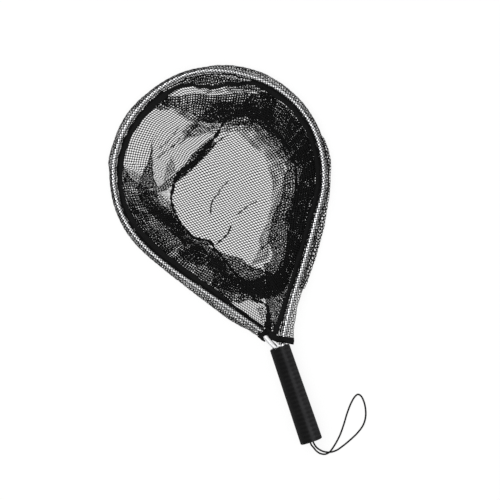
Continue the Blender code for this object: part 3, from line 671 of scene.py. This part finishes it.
# Stations round the wall and samples down it.
NA, NB = 700, 160
wt = np.linspace(0, 1, NA)
mouth_line = np.vstack([mouth, mouth[:1]])
mouth_len = run_of(mouth_line)[-1]
edge = along(mouth_line, wt * mouth_len)
foot_off = floor_edge - inward(floor_edge, True) * 1.0 * MM
foot_line = np.vstack([foot_off, foot_off[:1]])
foot_run = run_of(foot_line)[-1]
foot = along(foot_line, np.minimum(wt + keyed(LEAD_KEYS, wt)[:, 0], 0.99999)
             * foot_run)
folds = keyed(WALL_KEYS, wt) * MM
fold_noise = [waves(6, 0.06, 0.25) for _ in range(4)]
for c, (f, size) in enumerate(zip(fold_noise, (1.4, 0.5, 1.4, 1.4))):
    size = size * np.clip((folds[:, c // 2 * 2] - folds[:, c // 2 * 2 + 1])
                          / (8 * MM), 0, 1)
    folds[:, c] += size * MM * f(wt * mouth_len, 0.3 * c)
# The folds reach no further out than this past the mouth's edge.
OUTMOST = 25.6 * MM
folds[:, 1] = np.maximum(folds[:, 1], -OUTMOST)
depth = np.linalg.norm((foot - edge)[:, :2], axis=1)
way = np.zeros_like(foot)
way[:, :2] = (foot - edge)[:, :2] / depth[:, None]
# Heights of the wall's five layers, the upper ones first.
LEVELS = np.array((6.6, 5.5, 4.4, 3.2, 2.0)) * MM
# The radius of a turn in the cloth, and the narrowest fold that has one.
TURN_R, LEAST_FOLD = 1.5 * MM, 1.2 * MM


def turn(pts, inner, outer, z):
    """Adds one fold of the wall, or a plain step down where it is narrow."""
    wide = inner - outer
    if wide < LEAST_FOLD:
        mid = (inner + outer) / 2
        pts += [(mid - 3 * MM, z[0]), (mid + 3 * MM, z[2])]
        return
    r = min(TURN_R, wide / 4)
    pts += [(inner - r, z[0]), (inner, (z[0] + z[1]) / 2), (inner - r, z[1])]
    if wide > 8 * MM:
        pts.append(((inner + outer) / 2, z[1]))
    pts += [(outer + r, z[1]), (outer, (z[1] + z[2]) / 2), (outer + r, z[2])]


profile = np.empty((NA, NB, 2))
for k in range(NA):
    hang, end = edge[k, 2] - 0.9 * MM, depth[k]
    in1, out1, in2, out2 = folds[k]
    first = LEVELS[0]
    pts = [(0.0, hang), (0.8 * MM, hang * 0.6 + first * 0.4),
           (2.6 * MM, hang * 0.3 + first * 0.7)]
    if min(in1, out1) > 9 * MM:
        pts.append((7 * MM, first))
    turn(pts, in1, out1, LEVELS[:3])
    turn(pts, in2, out2, LEVELS[2:])
    last = pts[-1][0]
    if end > last + 4 * MM:
        pts.append(((last + end) / 2, LEVELS[4] - 0.2 * MM))
    pts.append((end, 1.3 * MM))
    profile[k] = even([curve(np.array(pts), steps=8)], NB)[0][0]
wall_grid = (edge * (1, 1, 0))[:, None, :] + way[:, None, :] * profile[..., 0:1]
wall_grid[..., 2] = profile[..., 1]
wx, wy, wz = waves(14, 0.03, 0.12), waves(14, 0.03, 0.12), waves(14, 0.015, 0.07)
free = np.sin(np.linspace(0, math.pi, NB)) ** 0.5
X, Y = wall_grid[..., 0].copy(), wall_grid[..., 1].copy()
B = np.linspace(0, 0.15, NB)[None, :]
wall_grid[..., 0] += 0.4 * MM * wx(X + B, Y) * free
wall_grid[..., 1] += 0.4 * MM * wy(X, Y + B) * free
wall_grid[..., 2] += 0.3 * MM * wz(X + B, Y - B) * free
wall_grid[..., 2] = np.maximum(wall_grid[..., 2], 1.0 * MM)
wall_grid, wall_deep = even(wall_grid)
pw, pw2 = waves(8, 0.03, 0.15), waves(8, 0.03, 0.15)
wall_parts = [netting(wall_grid, mouth_len, wall_deep, angle=-5, skew=76,
                      warp=drift_of(pw, pw2, 0.35 * MM))]
wall_area = float(wall_deep.mean() * mouth_len)

# Pleats of the wall, each between two edges given as x, y, x, y and so on, with
# its height and how many tubes of cloth lie in it. A half is one sheet.
PLEATS = (
    # beside the floor's seam on the left
    ((-104, 366, -97, 356, -92, 348, -86, 336, -84, 326, -77, 318, -69, 312, -58, 306),
     (-80, 366, -77, 352, -74, 340, -70, 331, -64, 323, -56, 316, -47, 309, -43, 302), 3.8, 1),
    ((-112, 398, -98, 397, -84, 396, -72, 398, -60, 402, -44, 408),
     (-110, 404, -98, 403, -86, 404, -72, 409, -56, 416, -40, 418), 2.8, 1),
    # the dark band from there down to the neck
    ((-55, 292, -50, 276, -46, 262, -37, 251, -30, 242, -26, 228),
     (-42, 302, -35, 286, -34, 270, -30, 258, -22, 248, -10, 240), 4.0, 1),
    # the knot of cloth over the neck
    ((-26, 228, -16, 217, -4, 211, 10, 207, 24, 207, 38, 214),
     (-22, 244, -8, 240, 4, 240, 16, 240, 27, 238, 44, 246), 3.8, 2),
    # under the right side of the hoop
    ((38, 214, 52, 233, 68, 257, 86, 285, 104, 314, 118, 340, 128, 368, 130, 392, 127, 416),
     (36, 240, 46, 254, 60, 274, 72, 296, 84, 318, 99, 344, 110, 366, 108, 382, 104, 404),
     3.0, 1),
    ((102, 446, 94, 456, 85, 460, 76, 464), (94, 434, 84, 437, 77, 448, 70, 456), 3.4, 1),
    # the two sheets under the hoop's top
    ((-52, 517, -42, 507, -30, 498, -14, 488, -4, 476, 6, 466, 16, 462, 26, 458, 34, 453,
      45, 450, 54, 445, 62, 436),
     (-52, 520, -42, 521, -24, 516, -9, 513, 4, 510, 16, 505, 30, 499, 44, 496, 58, 493, 70, 489,
      80, 483, 88, 478), 4.6, 1),
    ((-6, 473, 5, 467, 15, 463, 25, 459, 35, 461, 45, 459, 58, 458, 70, 452),
     (-7, 477, 1, 481, 10, 484, 19, 488, 31, 490, 44, 484, 58, 479, 72, 473), 4.0, 1),
    # the black line there
    ((18, 470, 31, 469, 45, 464, 58, 461, 68, 458, 78, 455),
     (17, 474, 31, 478, 45, 472, 58, 470, 69, 467, 80, 465), 3.4, 1),
    # the folds' single inner edge over the floor, on the right
    ((42, 441, 46, 430, 51, 420, 57, 410, 64, 400, 66, 390, 65, 380, 65, 370, 64, 358, 61, 349,
      55, 339, 52, 329, 45, 319, 40, 309, 30, 299, 22, 290, 18, 279, 8, 268, -2, 259),
     (60, 444, 66, 433, 71, 424, 76, 413, 82, 402, 86, 392, 88, 381, 87, 370, 85, 358, 80, 347,
      74, 337, 68, 327, 62, 318, 55, 308, 45, 299, 38, 290, 33, 279, 29, 268, 22, 256), 2.4, 0.5),
    ((-4, 262, 6, 254, 14, 249), (-6, 246, 6, 242, 14, 240), 2.2, 0.5),
    # over the floor's seam at its top
    ((-64, 404, -50, 406, -40, 409, -29, 414.5, -18, 420, -5, 427, 8, 435),
     (-64, 409, -53, 415, -43, 422, -31, 431, -19, 437, -6, 442, 6, 447), 3.4, 1),
    ((-80, 404, -70, 411, -58, 416), (-77, 412, -66, 431, -55, 440), 2.6, 0.5),
    # inside the hoop's left side
    ((-136, 404, -136, 372, -131, 344, -121, 318, -107, 296),
     (-120, 402, -116, 370, -109, 342, -100, 320, -88, 302), 8.6, 0.5),
    # the light patch beside the floor's seam
    ((-112, 402, -108, 384, -104, 366, -98, 350),
     (-93, 402, -84, 387, -75, 371, -78, 350), 2.6, 0.5),
    ((-103, 380, -98, 366, -94, 354), (-78, 374, -76, 364, -77, 352), 3.2, 0.5),
    # under the tape at the hoop's top, and below the folded sheets there
    ((16, 506, 34, 501, 50, 494.5, 64, 487, 78, 481),
     (12, 512, 32, 509, 50, 504, 64, 497, 76, 490), 5.4, 0.5),
    ((0, 452, 18, 447, 34, 444, 48, 440, 60, 436),
     (2, 462, 18, 460, 34, 458, 50, 454, 64, 448), 3.0, 0.5),
    ((-60, 510, -50, 504, -38, 500), (-60, 516, -48, 518, -34, 517), 3.9, 1),
    ((-36, 498, -27, 486, -20, 476), (-20, 496, -12, 484, -6, 474), 2.8, 0.5),
    ((72, 446, 78, 430, 84, 412, 86, 396), (88, 446, 94, 430, 98, 412, 98, 396), 4.4, 0.5),
    # inside the hoop's right side
    ((106, 322, 116, 338, 125, 358, 129, 385, 130, 415, 124, 445, 110, 472),
     (114, 318, 124, 332, 133, 352, 138.5, 380, 138.5, 412, 132, 446, 118, 476), 8.4, 1),
    # left of the side seam
    ((-14, 171, -13, 180, -12, 190, -15, 202), (-7, 171, -3, 181, -1, 190, -1, 199), 8.0, 0.5),
    # the doubled flap between the hoop's top and its tape
    ((-16, 531, 4, 532, 25, 529.5, 45, 522, 64, 511, 81, 499.5, 97, 484, 105, 472),
     (-12, 526, 8, 521, 24, 515, 40, 508, 58, 499, 75, 489, 90, 478, 99, 467), 10.6, 1),
    # the folded sheets' left edge
    ((-47, 512, -36, 500, -26, 489, -17, 478, -10, 470),
     (-34, 516, -24, 503, -14, 492, -6, 482, 0, 473), 3.6, 0.5),
    # single sheets over the light part
    ((-30, 455, -12, 453, 4, 455, 20, 460), (-34, 466, -16, 474, 0, 478, 12, 470), 3.2, 0.5),
    ((-127, 428, -122, 424, -112, 414), (-124, 446, -116, 438, -104, 426), 3.2, 0.5),
    # soft creases of the light part
    ((-42, 450, -28, 456, -14, 464, -4, 466), (-41, 452, -29, 460, -16, 470, -6, 476), 3.4, 1),
    ((-78, 441, -60, 447, -46, 452, -34, 460),
     (-78, 442.5, -61, 449, -47, 454, -35, 462), 3.0, 1),
    ((-72, 453, -58, 458, -44, 466, -34, 474),
     (-72, 454.5, -58, 460, -45, 468, -35, 476), 5.2, 1),
)
# Netting between the hoop's legs at the neck.
NECK = (((-4.5, 152, -2.5, 147, -0.5, 143, 1.5, 140.4),
         (8, 148, 9.5, 145, 10, 142.6, 9.5, 140.4), 20.3),
        ((-9, 176, -7, 168, -4, 160, 0, 154), (2, 178, 4, 170, 5.4, 162, 6, 156), 9.5))
# Creases of the floor: route and half width.
FLOOR_CREASES = (
    ((-38, 301, -28, 306, -18, 311, -10, 320), 1.3),
    ((-31, 345, -27, 356, -20, 364, -10, 369), 1.1), ((20, 276, 35, 281, 45, 284), 1.3),
    ((2, 332, 12, 335, 22, 339, 34, 341), 1.0), ((-12, 370, -2, 376, 8, 380), 0.8),
    ((0, 432, 12, 438, 28, 442), 0.9),
)


def pleat(one, two, z, angle, thick=0.7, trim=0.0, strand=STRAND, single=False):
    """A flattened tube, or one sheet, of netting between two edges.

    Returns points, quads and the cloth's area.
    """
    a, b = [curve(plan(np.reshape(edge, (-1, 2)))) for edge in (one, two)]
    n = max(int(max(run_of(a)[-1], run_of(b)[-1]) / (1.5 * MM)), 8)
    a, b = spaced(a, n), spaced(b, n)
    across = b - a
    width = np.linalg.norm(across, axis=1)
    across /= np.maximum(width, 1e-6)[:, None]
    mid, half = (a + b) / 2, np.maximum(width / 2 - trim, 0.3 * MM)
    k = np.linspace(-math.pi / 2, 1.5 * math.pi, 49)
    if single:
        k = np.linspace(0, math.pi, 33)
    u = np.outer(half, pressed(np.cos(k), 0.35))
    grid = mid[:, None, :] + across[:, None, :] * u[..., None]
    grid[..., 2] = z * MM + thick * MM * np.sin(k)[None, :]
    grid[..., :2] += 0.4 * MM * np.stack([wx(grid[..., 0], grid[..., 1]),
                                          wy(grid[..., 0], grid[..., 1])], axis=2)
    grid[..., 2] += 0.4 * MM * wz(grid[..., 0], grid[..., 1])
    grid[..., 2] = np.maximum(grid[..., 2], 0.6 * MM)
    grid, deep = even(grid)
    wide = run_of(mid)[-1]
    v, q = netting(grid, wide, deep, angle=angle, skew=82, strand=strand)
    return v, q, float(deep.mean() * wide)


for i, (one, two, z, layers) in enumerate(PLEATS):
    for n in range(math.ceil(layers)):
        v, q, area = pleat(one, two, z, -6 + 8 * ((i + n) % 4), 0.9 - 0.5 * n, 1.2 * n * MM,
                           THIN_STRAND if layers < 1 else STRAND, layers < 1)
        wall_parts.append((v, q))
        wall_area += area
for one, two, z in NECK:
    v, q, area = pleat(one, two, z, 4)
    wall_parts.append((v, q))
    wall_area += area
v, q = joined(wall_parts)
# The wall is split from left to right into four pieces of as many faces.
at = v[q[:, 0], 0]
cuts = np.quantile(at, (0, 0.25, 0.5, 0.75, 1.0))
walls, wall_shares = [], []
for i in range(4):
    pick = (at >= cuts[i]) & ((at < cuts[i + 1]) | (i == 3))
    wall_shares.append(float(pick.mean()))
    used, back = np.unique(q[pick], return_inverse=True)
    walls.append(mesh_object(f"wall_netting_{i + 1}", NET, v[used], back.reshape(-1, 4)))

# The floor.
lo, hi = floor_edge.min(0), floor_edge.max(0)
gx, gy = np.meshgrid(np.linspace(lo[0], hi[0], 120), np.linspace(lo[1], hi[1], 150),
                     indexing="ij")
FLOOR_MIDDLE, FLOOR_LEAST = 0.6 * MM, 0.35 * MM
floor_grid = np.stack([gx, gy, FLOOR_MIDDLE + 0.1 * MM * wz(gx * 2, gy * 2)], axis=2)
floor_grid[..., 2] = np.maximum(floor_grid[..., 2], FLOOR_LEAST)


def in_floor(p):
    """Even-odd test of points against the floor's outline."""
    x, y = p[:, 0:1], p[:, 1:2]
    x1, y1 = floor_edge[:, 0], floor_edge[:, 1]
    x2, y2 = np.roll(x1, -1), np.roll(y1, -1)
    at = x1 + (y - y1) / np.where(y2 == y1, 1e-12, y2 - y1) * (x2 - x1)
    return (((y1 > y) != (y2 > y)) & (x < at)).sum(axis=1) % 2 == 1


def floor_warp(ab):
    x, y = ab[:, 0], ab[:, 1]
    return np.stack([pw(x * 1.5, y), pw2(x, y * 1.5)], axis=1) * 0.5 * MM


parts = [netting(floor_grid, hi[0] - lo[0], hi[1] - lo[1], angle=2, skew=108,
                 keep=in_floor, warp=floor_warp)]
for route, w in FLOOR_CREASES:
    line = curve(plan(np.reshape(route, (-1, 2))))
    side = inward(line) * w * MM
    one, two = [((edge - plan([(0, 0)])) / MM)[:, :2] for edge in (line - side, line + side)]
    parts.append(pleat(one, two, 1.3, 20, 0.35, strand=2.4 * MM)[:2])
floor_net = mesh_object("floor_netting", FLOOR_NET, *joined(parts))


# Seams.
def band(name, path, half, high, z, closed, seed):
    """A lumpy bound seam along a path."""
    lump, sway = waves(8, 0.006, 0.03), waves(8, 0.02, 0.07)
    n = len(path)
    nrm = inward(path, closed)
    s = np.linspace(0, 1, n) * np.linalg.norm(np.diff(path, axis=0), axis=1).sum()
    path = path + nrm * (0.5 * MM * sway(s, seed))[:, None]
    k = full_turn(20)
    w = half * (1 + 0.22 * lump(s, seed))
    h = high / 2 * (1 + 0.15 * lump(s, seed + 0.1))
    sec = np.stack([np.outer(w, pressed(np.cos(k), 0.8)), np.outer(h, np.sin(k))], axis=2)
    rings = placed(path, nrm, sec)
    rings[..., 2] += np.broadcast_to(z, (n,))[:, None]
    return mesh_object(name, SEAM, *swept(rings, closed))


seam_path = spaced(floor_edge, 700, True)
near_top = np.exp(-((seam_path[:, 0] + 0.028) / 0.036) ** 2
                  - ((seam_path[:, 1] - 0.150) / 0.03) ** 2)
floor_seam = band("floor_binding", seam_path, (1.8 + 2.0 * near_top) * MM,
                  2.0 * MM, 1.6 * MM, True, 0.25)
SIDE = ((-11, 162), (-8.6, 167), (-6.6, 173), (-3.1, 179.5), (0.2, 187), (2.4, 195),
        (2.2, 199), (-1, 203), (-7, 207.5), (-12, 211), (-15, 215))
side_path = spaced(curve(plan(SIDE)), 90)
t = np.linspace(0, 1, len(side_path))
side_half = np.interp(t, (0, 0.1, 0.25, 0.5, 0.62, 1), (3.4, 4.0, 3.4, 2.7, 2.0, 1.7)) * MM
side_z = np.interp(t, (0, 0.15, 1), (10.4, 8.8, 8.3)) * MM
side_seam = band("side_binding", side_path, side_half, 1.5 * MM, side_z, False, 0.7)

# The binding crosses between the hoop's legs, and a fold of the left hem hangs there.
for name, route, halves in (
        ("neck_binding", ((-11, 168, 13.4), (-7.5, 161, 14.0), (-3.2, 154.5, 15.2),
                          (1.0, 149.5, 17.2), (5.5, 146.6, 19.0), (11, 144.0, 20.6),
                          (16.5, 141.0, 21.0), (21.0, 138.4, 20.4)),
         (3.4, 4.8, 5.4, 4.4, 3.4, 3.0, 3.2, 3.2)),
        ("tape_tail", ((11.5, 175, 15.6), (8.0, 169.5, 16.0), (4.4, 164.5, 16.4),
                       (0.6, 158.5, 16.8)), (2.4, 3.2, 3.2, 2.6)),
        ("hem_fold_left", ((-15.0, 166.5, 17.5), (-16.8, 161, 17.2), (-17.0, 157, 15.0),
                           (-16.0, 152.2, 12.0)), (7.0, 6.0, 4.2, 1.4))):
    line = spaced(curve(plan(route)), 60)
    t = np.linspace(0, 1, len(line))
    half = np.interp(t, np.linspace(0, 1, len(halves)), halves) * MM
    k = full_turn(20)
    flat = pressed(np.cos(k), 0.6)
    lump = waves(6, 0.008, 0.03)
    wave = 0.25 * MM * lump(t[:, None] * 0.04, flat * 0.004)
    sec = np.stack([np.outer(half, flat), 0.6 * MM * np.sin(k) + wave], axis=2)
    bindings.append(mesh_object(name, HEM, *swept(placed(line, inward(line), sec))))

# The grip.
# Rows along the foam and points round it.
NY, NK = 300, 192
# The foam's rounded ends, its knurl, the bars across it, and the bore for the core.
ROUNDING, END_EDGE, BORE_R = 2 * MM, 2.6 * MM, 11.2 * MM
KNURL, KNURL_R = 2.1 * MM, 15 * MM
BAR_PITCH, BAR_DEPTH = 6.25 * MM, 0.28 * MM
ang = 2 * math.pi * np.arange(NK) / NK
Yg, Ag = np.meshgrid(np.linspace(0, GRIP_LENGTH, NY), ang, indexing="ij")
end = np.clip(np.minimum(Yg, GRIP_LENGTH - Yg) / ROUNDING, 0, 1)
r = BUTT_R + (TOP_R - BUTT_R) * Yg / GRIP_LENGTH
r = r - ROUNDING * (1 - np.sqrt(1 - (1 - end) ** 2)) * 0.8
span = Ag * KNURL_R
knurl = (np.cos(2 * math.pi * (Yg + span) / KNURL)
         * np.cos(2 * math.pi * (Yg - span) / KNURL))
deg = np.degrees((Ag + math.pi) % (2 * math.pi) - math.pi)


def panel(lo, hi, soft=2.0):
    """Near 1 between two angles in degrees, and 0 outside them."""
    return 1 / (1 + np.exp(-(deg - lo) / soft)) / (1 + np.exp((deg - hi) / soft))


bar = 0.5 + 0.5 * np.clip(2.2 * np.cos(2 * math.pi * Yg / BAR_PITCH), -1, 1)
smooth_zone = panel(-56, -34) + panel(3, 18)
bars = panel(-34, 3) + 0.7 * panel(18, 62)
r = r - BAR_DEPTH * (1 - bar) * bars * end
r = r + 0.10 * MM * (knurl - 1) * (1 - 0.85 * np.clip(smooth_zone, 0, 1))
rings = np.stack([r * np.sin(Ag), Yg, r * np.cos(Ag)], axis=2)
yy = np.array((GRIP_LENGTH, GRIP_LENGTH, 0.0, 0.0))
rr = np.array((TOP_R - END_EDGE, BORE_R, BORE_R, BUTT_R - END_EDGE))
extra = np.stack([np.outer(rr, np.sin(ang)), np.tile(yy[:, None], (1, NK)),
                  np.outer(rr, np.cos(ang))], axis=2)
v, q, _ = swept(in_net(np.concatenate([rings, extra])), closed_run=True)
grip = mesh_object("foam_grip", FOAM, v, q[:, ::-1])
# Painted light and shade on the foam. Its colour is darkest over the top and upper left, a little
# lighter further round on the left, and lighter on the right side. It is lightest on the band
# just right of the top, which is a painted highlight. The bars' raised tops are painted lighter
# and their grooves darker.
painted_light = (0.3 + 1.7 * panel(4, 24, 3.0) + 1.2 * panel(24, 170, 6.0)
        + 0.25 * panel(-180, -40, 6.0)) * (1 + 0.6 * (bar - 0.5) * bars)
painted_light = np.concatenate([painted_light.ravel(), np.ones(extra.shape[0] * NK)])
grip.data.attributes.new("painted_light", "FLOAT", "POINT").data.foreach_set("value", painted_light)

# The cord.
CORD_R = 0.0012
# From the knot behind the plug, round the loop and back, in thousandths. Where the
# cord lies on the floor, its height is CORD_MIDDLE and left out.
CORD_MIDDLE = 1.25
CORD_ROUTE = (
    (-2, 0.7, 15.75), (-2, -2.5, 15.75), (-1.8, -4.42, 15.35), (0, -9.5, 12.6), (2.2, -15.5, 7.8),
    (6.2, -21, 3.6), (12, -24.2, 1.45), (17, -24), (21, -22.3), (30, -15.5), (40, -6), (50, 6.5),
    (60, 20.5), (70, 32.3), (77.5, 38.6), (82.3, 40.2), (85.6, 37), (87, 29), (86, 18),
    (82.2, 6.5), (75.5, -2.8), (65, -10.3), (50, -17.3), (38, -21.7), (29, -24.1, 1.6),
    (19.8, -23.6, 3.5), (12.6, -20.3, 6), (7, -15.2, 9.2), (3.6, -9.6, 12.6), (2.3, -4.42, 15.35),
    (2, -2.5, 15.75), (2, 0.7, 15.75),
)
pts = plan([(*p, CORD_MIDDLE)[:3] for p in CORD_ROUTE])
line = np.vstack([pts[:1], spaced(curve(pts[1:-1]), 240), pts[-1:]])
cu = bpy.data.curves.new("wrist_cord", "CURVE")
cu.dimensions = "3D"
cu.bevel_depth = CORD_R
cu.bevel_resolution = 5
cu.use_fill_caps = True
sp = cu.splines.new("POLY")
sp.points.add(len(line) - 1)
for p, co in zip(sp.points, line):
    p.co = (*co, 1.0)
sp.use_smooth = True
cu.materials.append(CORD)
cord = linked("wrist_cord", cu)

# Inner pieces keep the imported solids, with their own materials.
for node, mat in (("handle_core", CORE), ("butt_plug", PLUG), ("lanyard_knot", CORD)):
    obj = frame["nodes"][node]
    obj.data.materials.clear()
    obj.data.materials.append(mat)

# What the pieces are: a slot, the node its first piece stands for, and its pieces. The loop only
# hides each such node's imported solid.
hem_left, hem_right, neck_binding, tape_tail, hem_fold = bindings
for slot, node, pieces in (
        ("aluminium", "hoop_tube", [tube]), ("casing_net", "net_casing", [casing, slack]),
        ("tape", "mouth_tape", [tape, closing, tape_tail]),
        ("hem_left", "hem_left", [hem_left, hem_fold]),
        ("hem_right", "hem_right", [hem_right, neck_binding]),
        ("wall_net", "bag_wall", walls), ("floor_net", "bag_floor", [floor_net]),
        ("floor_seam", "floor_seam", [floor_seam]), ("side_seam", "side_seam", [side_seam]),
        ("foam", "grip", [grip]), ("cord", "lanyard", [cord])):
    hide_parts(node)
for obj in [o for o in bpy.context.scene.objects
            if o.type in ("MESH", "CURVE") and "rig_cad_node" not in o]:
    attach(obj, "root")

# The stage.
paper = bpy.data.materials.new("paper_white")
paper.use_nodes = True
nt = paper.node_tree
bsdf = nt.nodes["Principled BSDF"]
preset(bsdf, {"Base Color": (0.9, 0.9, 0.9, 1), "Roughness": 0.9, "Specular IOR Level": 0.0})
glow = nt.nodes.new("ShaderNodeEmission")
preset(glow, {"Color": (1, 1, 1, 1), "Strength": 1.02})
# The paper glows by this much for camera, glossy and transmission rays only.
GLOW = 0.85
rays = nt.nodes.new("ShaderNodeLightPath").outputs
seen = maths(nt, "MAXIMUM", rays["Is Camera Ray"], rays["Is Glossy Ray"])
seen = maths(nt, "MAXIMUM", seen, rays["Is Transmission Ray"])
mix = nt.nodes.new("ShaderNodeMixShader")
nt.links.new(maths(nt, "MULTIPLY", seen, GLOW), mix.inputs[0])
nt.links.new(bsdf.outputs[0], mix.inputs[1])
nt.links.new(glow.outputs[0], mix.inputs[2])
nt.links.new(mix.outputs[0], nt.nodes["Material Output"].inputs["Surface"])
GROUND_HALF, GROUND_DROP = 6.0, 0.0002
corners = np.array([(-1, -1, 0), (1, -1, 0), (1, 1, 0), (-1, 1, 0)]) * GROUND_HALF
ground = mesh_object("ground", paper, corners - UP * GROUND_DROP, [(0, 1, 2, 3)], smooth=False)

# A room that is white to the camera. All other light is darker low down in it,
# and diffuse light is a quarter weaker.
world = bpy.data.worlds.new("studio")
bpy.context.scene.world = world
world.use_nodes = True
nt = world.node_tree
back = nt.nodes["Background"]
preset(back, {"Color": (1, 1, 1, 1)})
rays = nt.nodes.new("ShaderNodeLightPath").outputs
place = nt.nodes.new("ShaderNodeTexCoord")
split = nt.nodes.new("ShaderNodeSeparateXYZ")
nt.links.new(place.outputs["Generated"], split.inputs[0])
rise = nt.nodes.new("ShaderNodeMapRange")
rise.interpolation_type = "SMOOTHSTEP"
nt.links.new(split.outputs["Z"], rise.inputs["Value"])
preset(rise, {"From Min": 0.05, "From Max": 0.55, "To Min": 0.12, "To Max": 0.9})
sky = rise.outputs["Result"]
seen = maths(nt, "MAXIMUM", rays["Is Glossy Ray"], rays["Is Transmission Ray"])
sky = maths(nt, "MULTIPLY", sky, maths(nt, "MULTIPLY_ADD", seen, 0.25, 0.75))
rest = maths(nt, "SUBTRACT", 1.0, sky)
sky = maths(nt, "MULTIPLY_ADD", rays["Is Camera Ray"], rest, sky)
nt.links.new(sky, back.inputs["Strength"])


def lamp(name, at, size, power):
    """A round lamp that points at the middle of the net."""
    data = bpy.data.lights.new(name, "AREA")
    data.energy = power
    data.shape = "DISK"
    data.size = size
    obj = linked(name, data)
    obj.location = at
    obj.rotation_mode = "QUATERNION"
    obj.rotation_quaternion = (-Vector(at)).to_track_quat("-Z", "Y")
    return obj


lamp("overhead", (0.0, -1.2, 3.6), 4.0, 40).visible_glossy = False
lamp("key", (-0.95, 0.85, 2.3), 2.5, 27)

# The camera looks straight down. The picture's sides are this wide on the floor,
# and the net is turned in it.
PICTURE_WIDTH, PICTURE_TURN = 0.6985, -18.75
SENSOR, CAMERA_HEIGHT = 36.0, 3.0
cam_data = bpy.data.cameras.new("camera")
cam_data.sensor_width = SENSOR
cam_data.lens = SENSOR * CAMERA_HEIGHT / PICTURE_WIDTH
camera = linked("camera", cam_data)
camera.location = (0.0045, 0.0070, CAMERA_HEIGHT)
camera.rotation_euler = (0, 0, math.radians(PICTURE_TURN))
cam_data.clip_end = 20
bpy.context.scene.camera = camera
bpy.context.scene.view_settings.view_transform = "Standard"
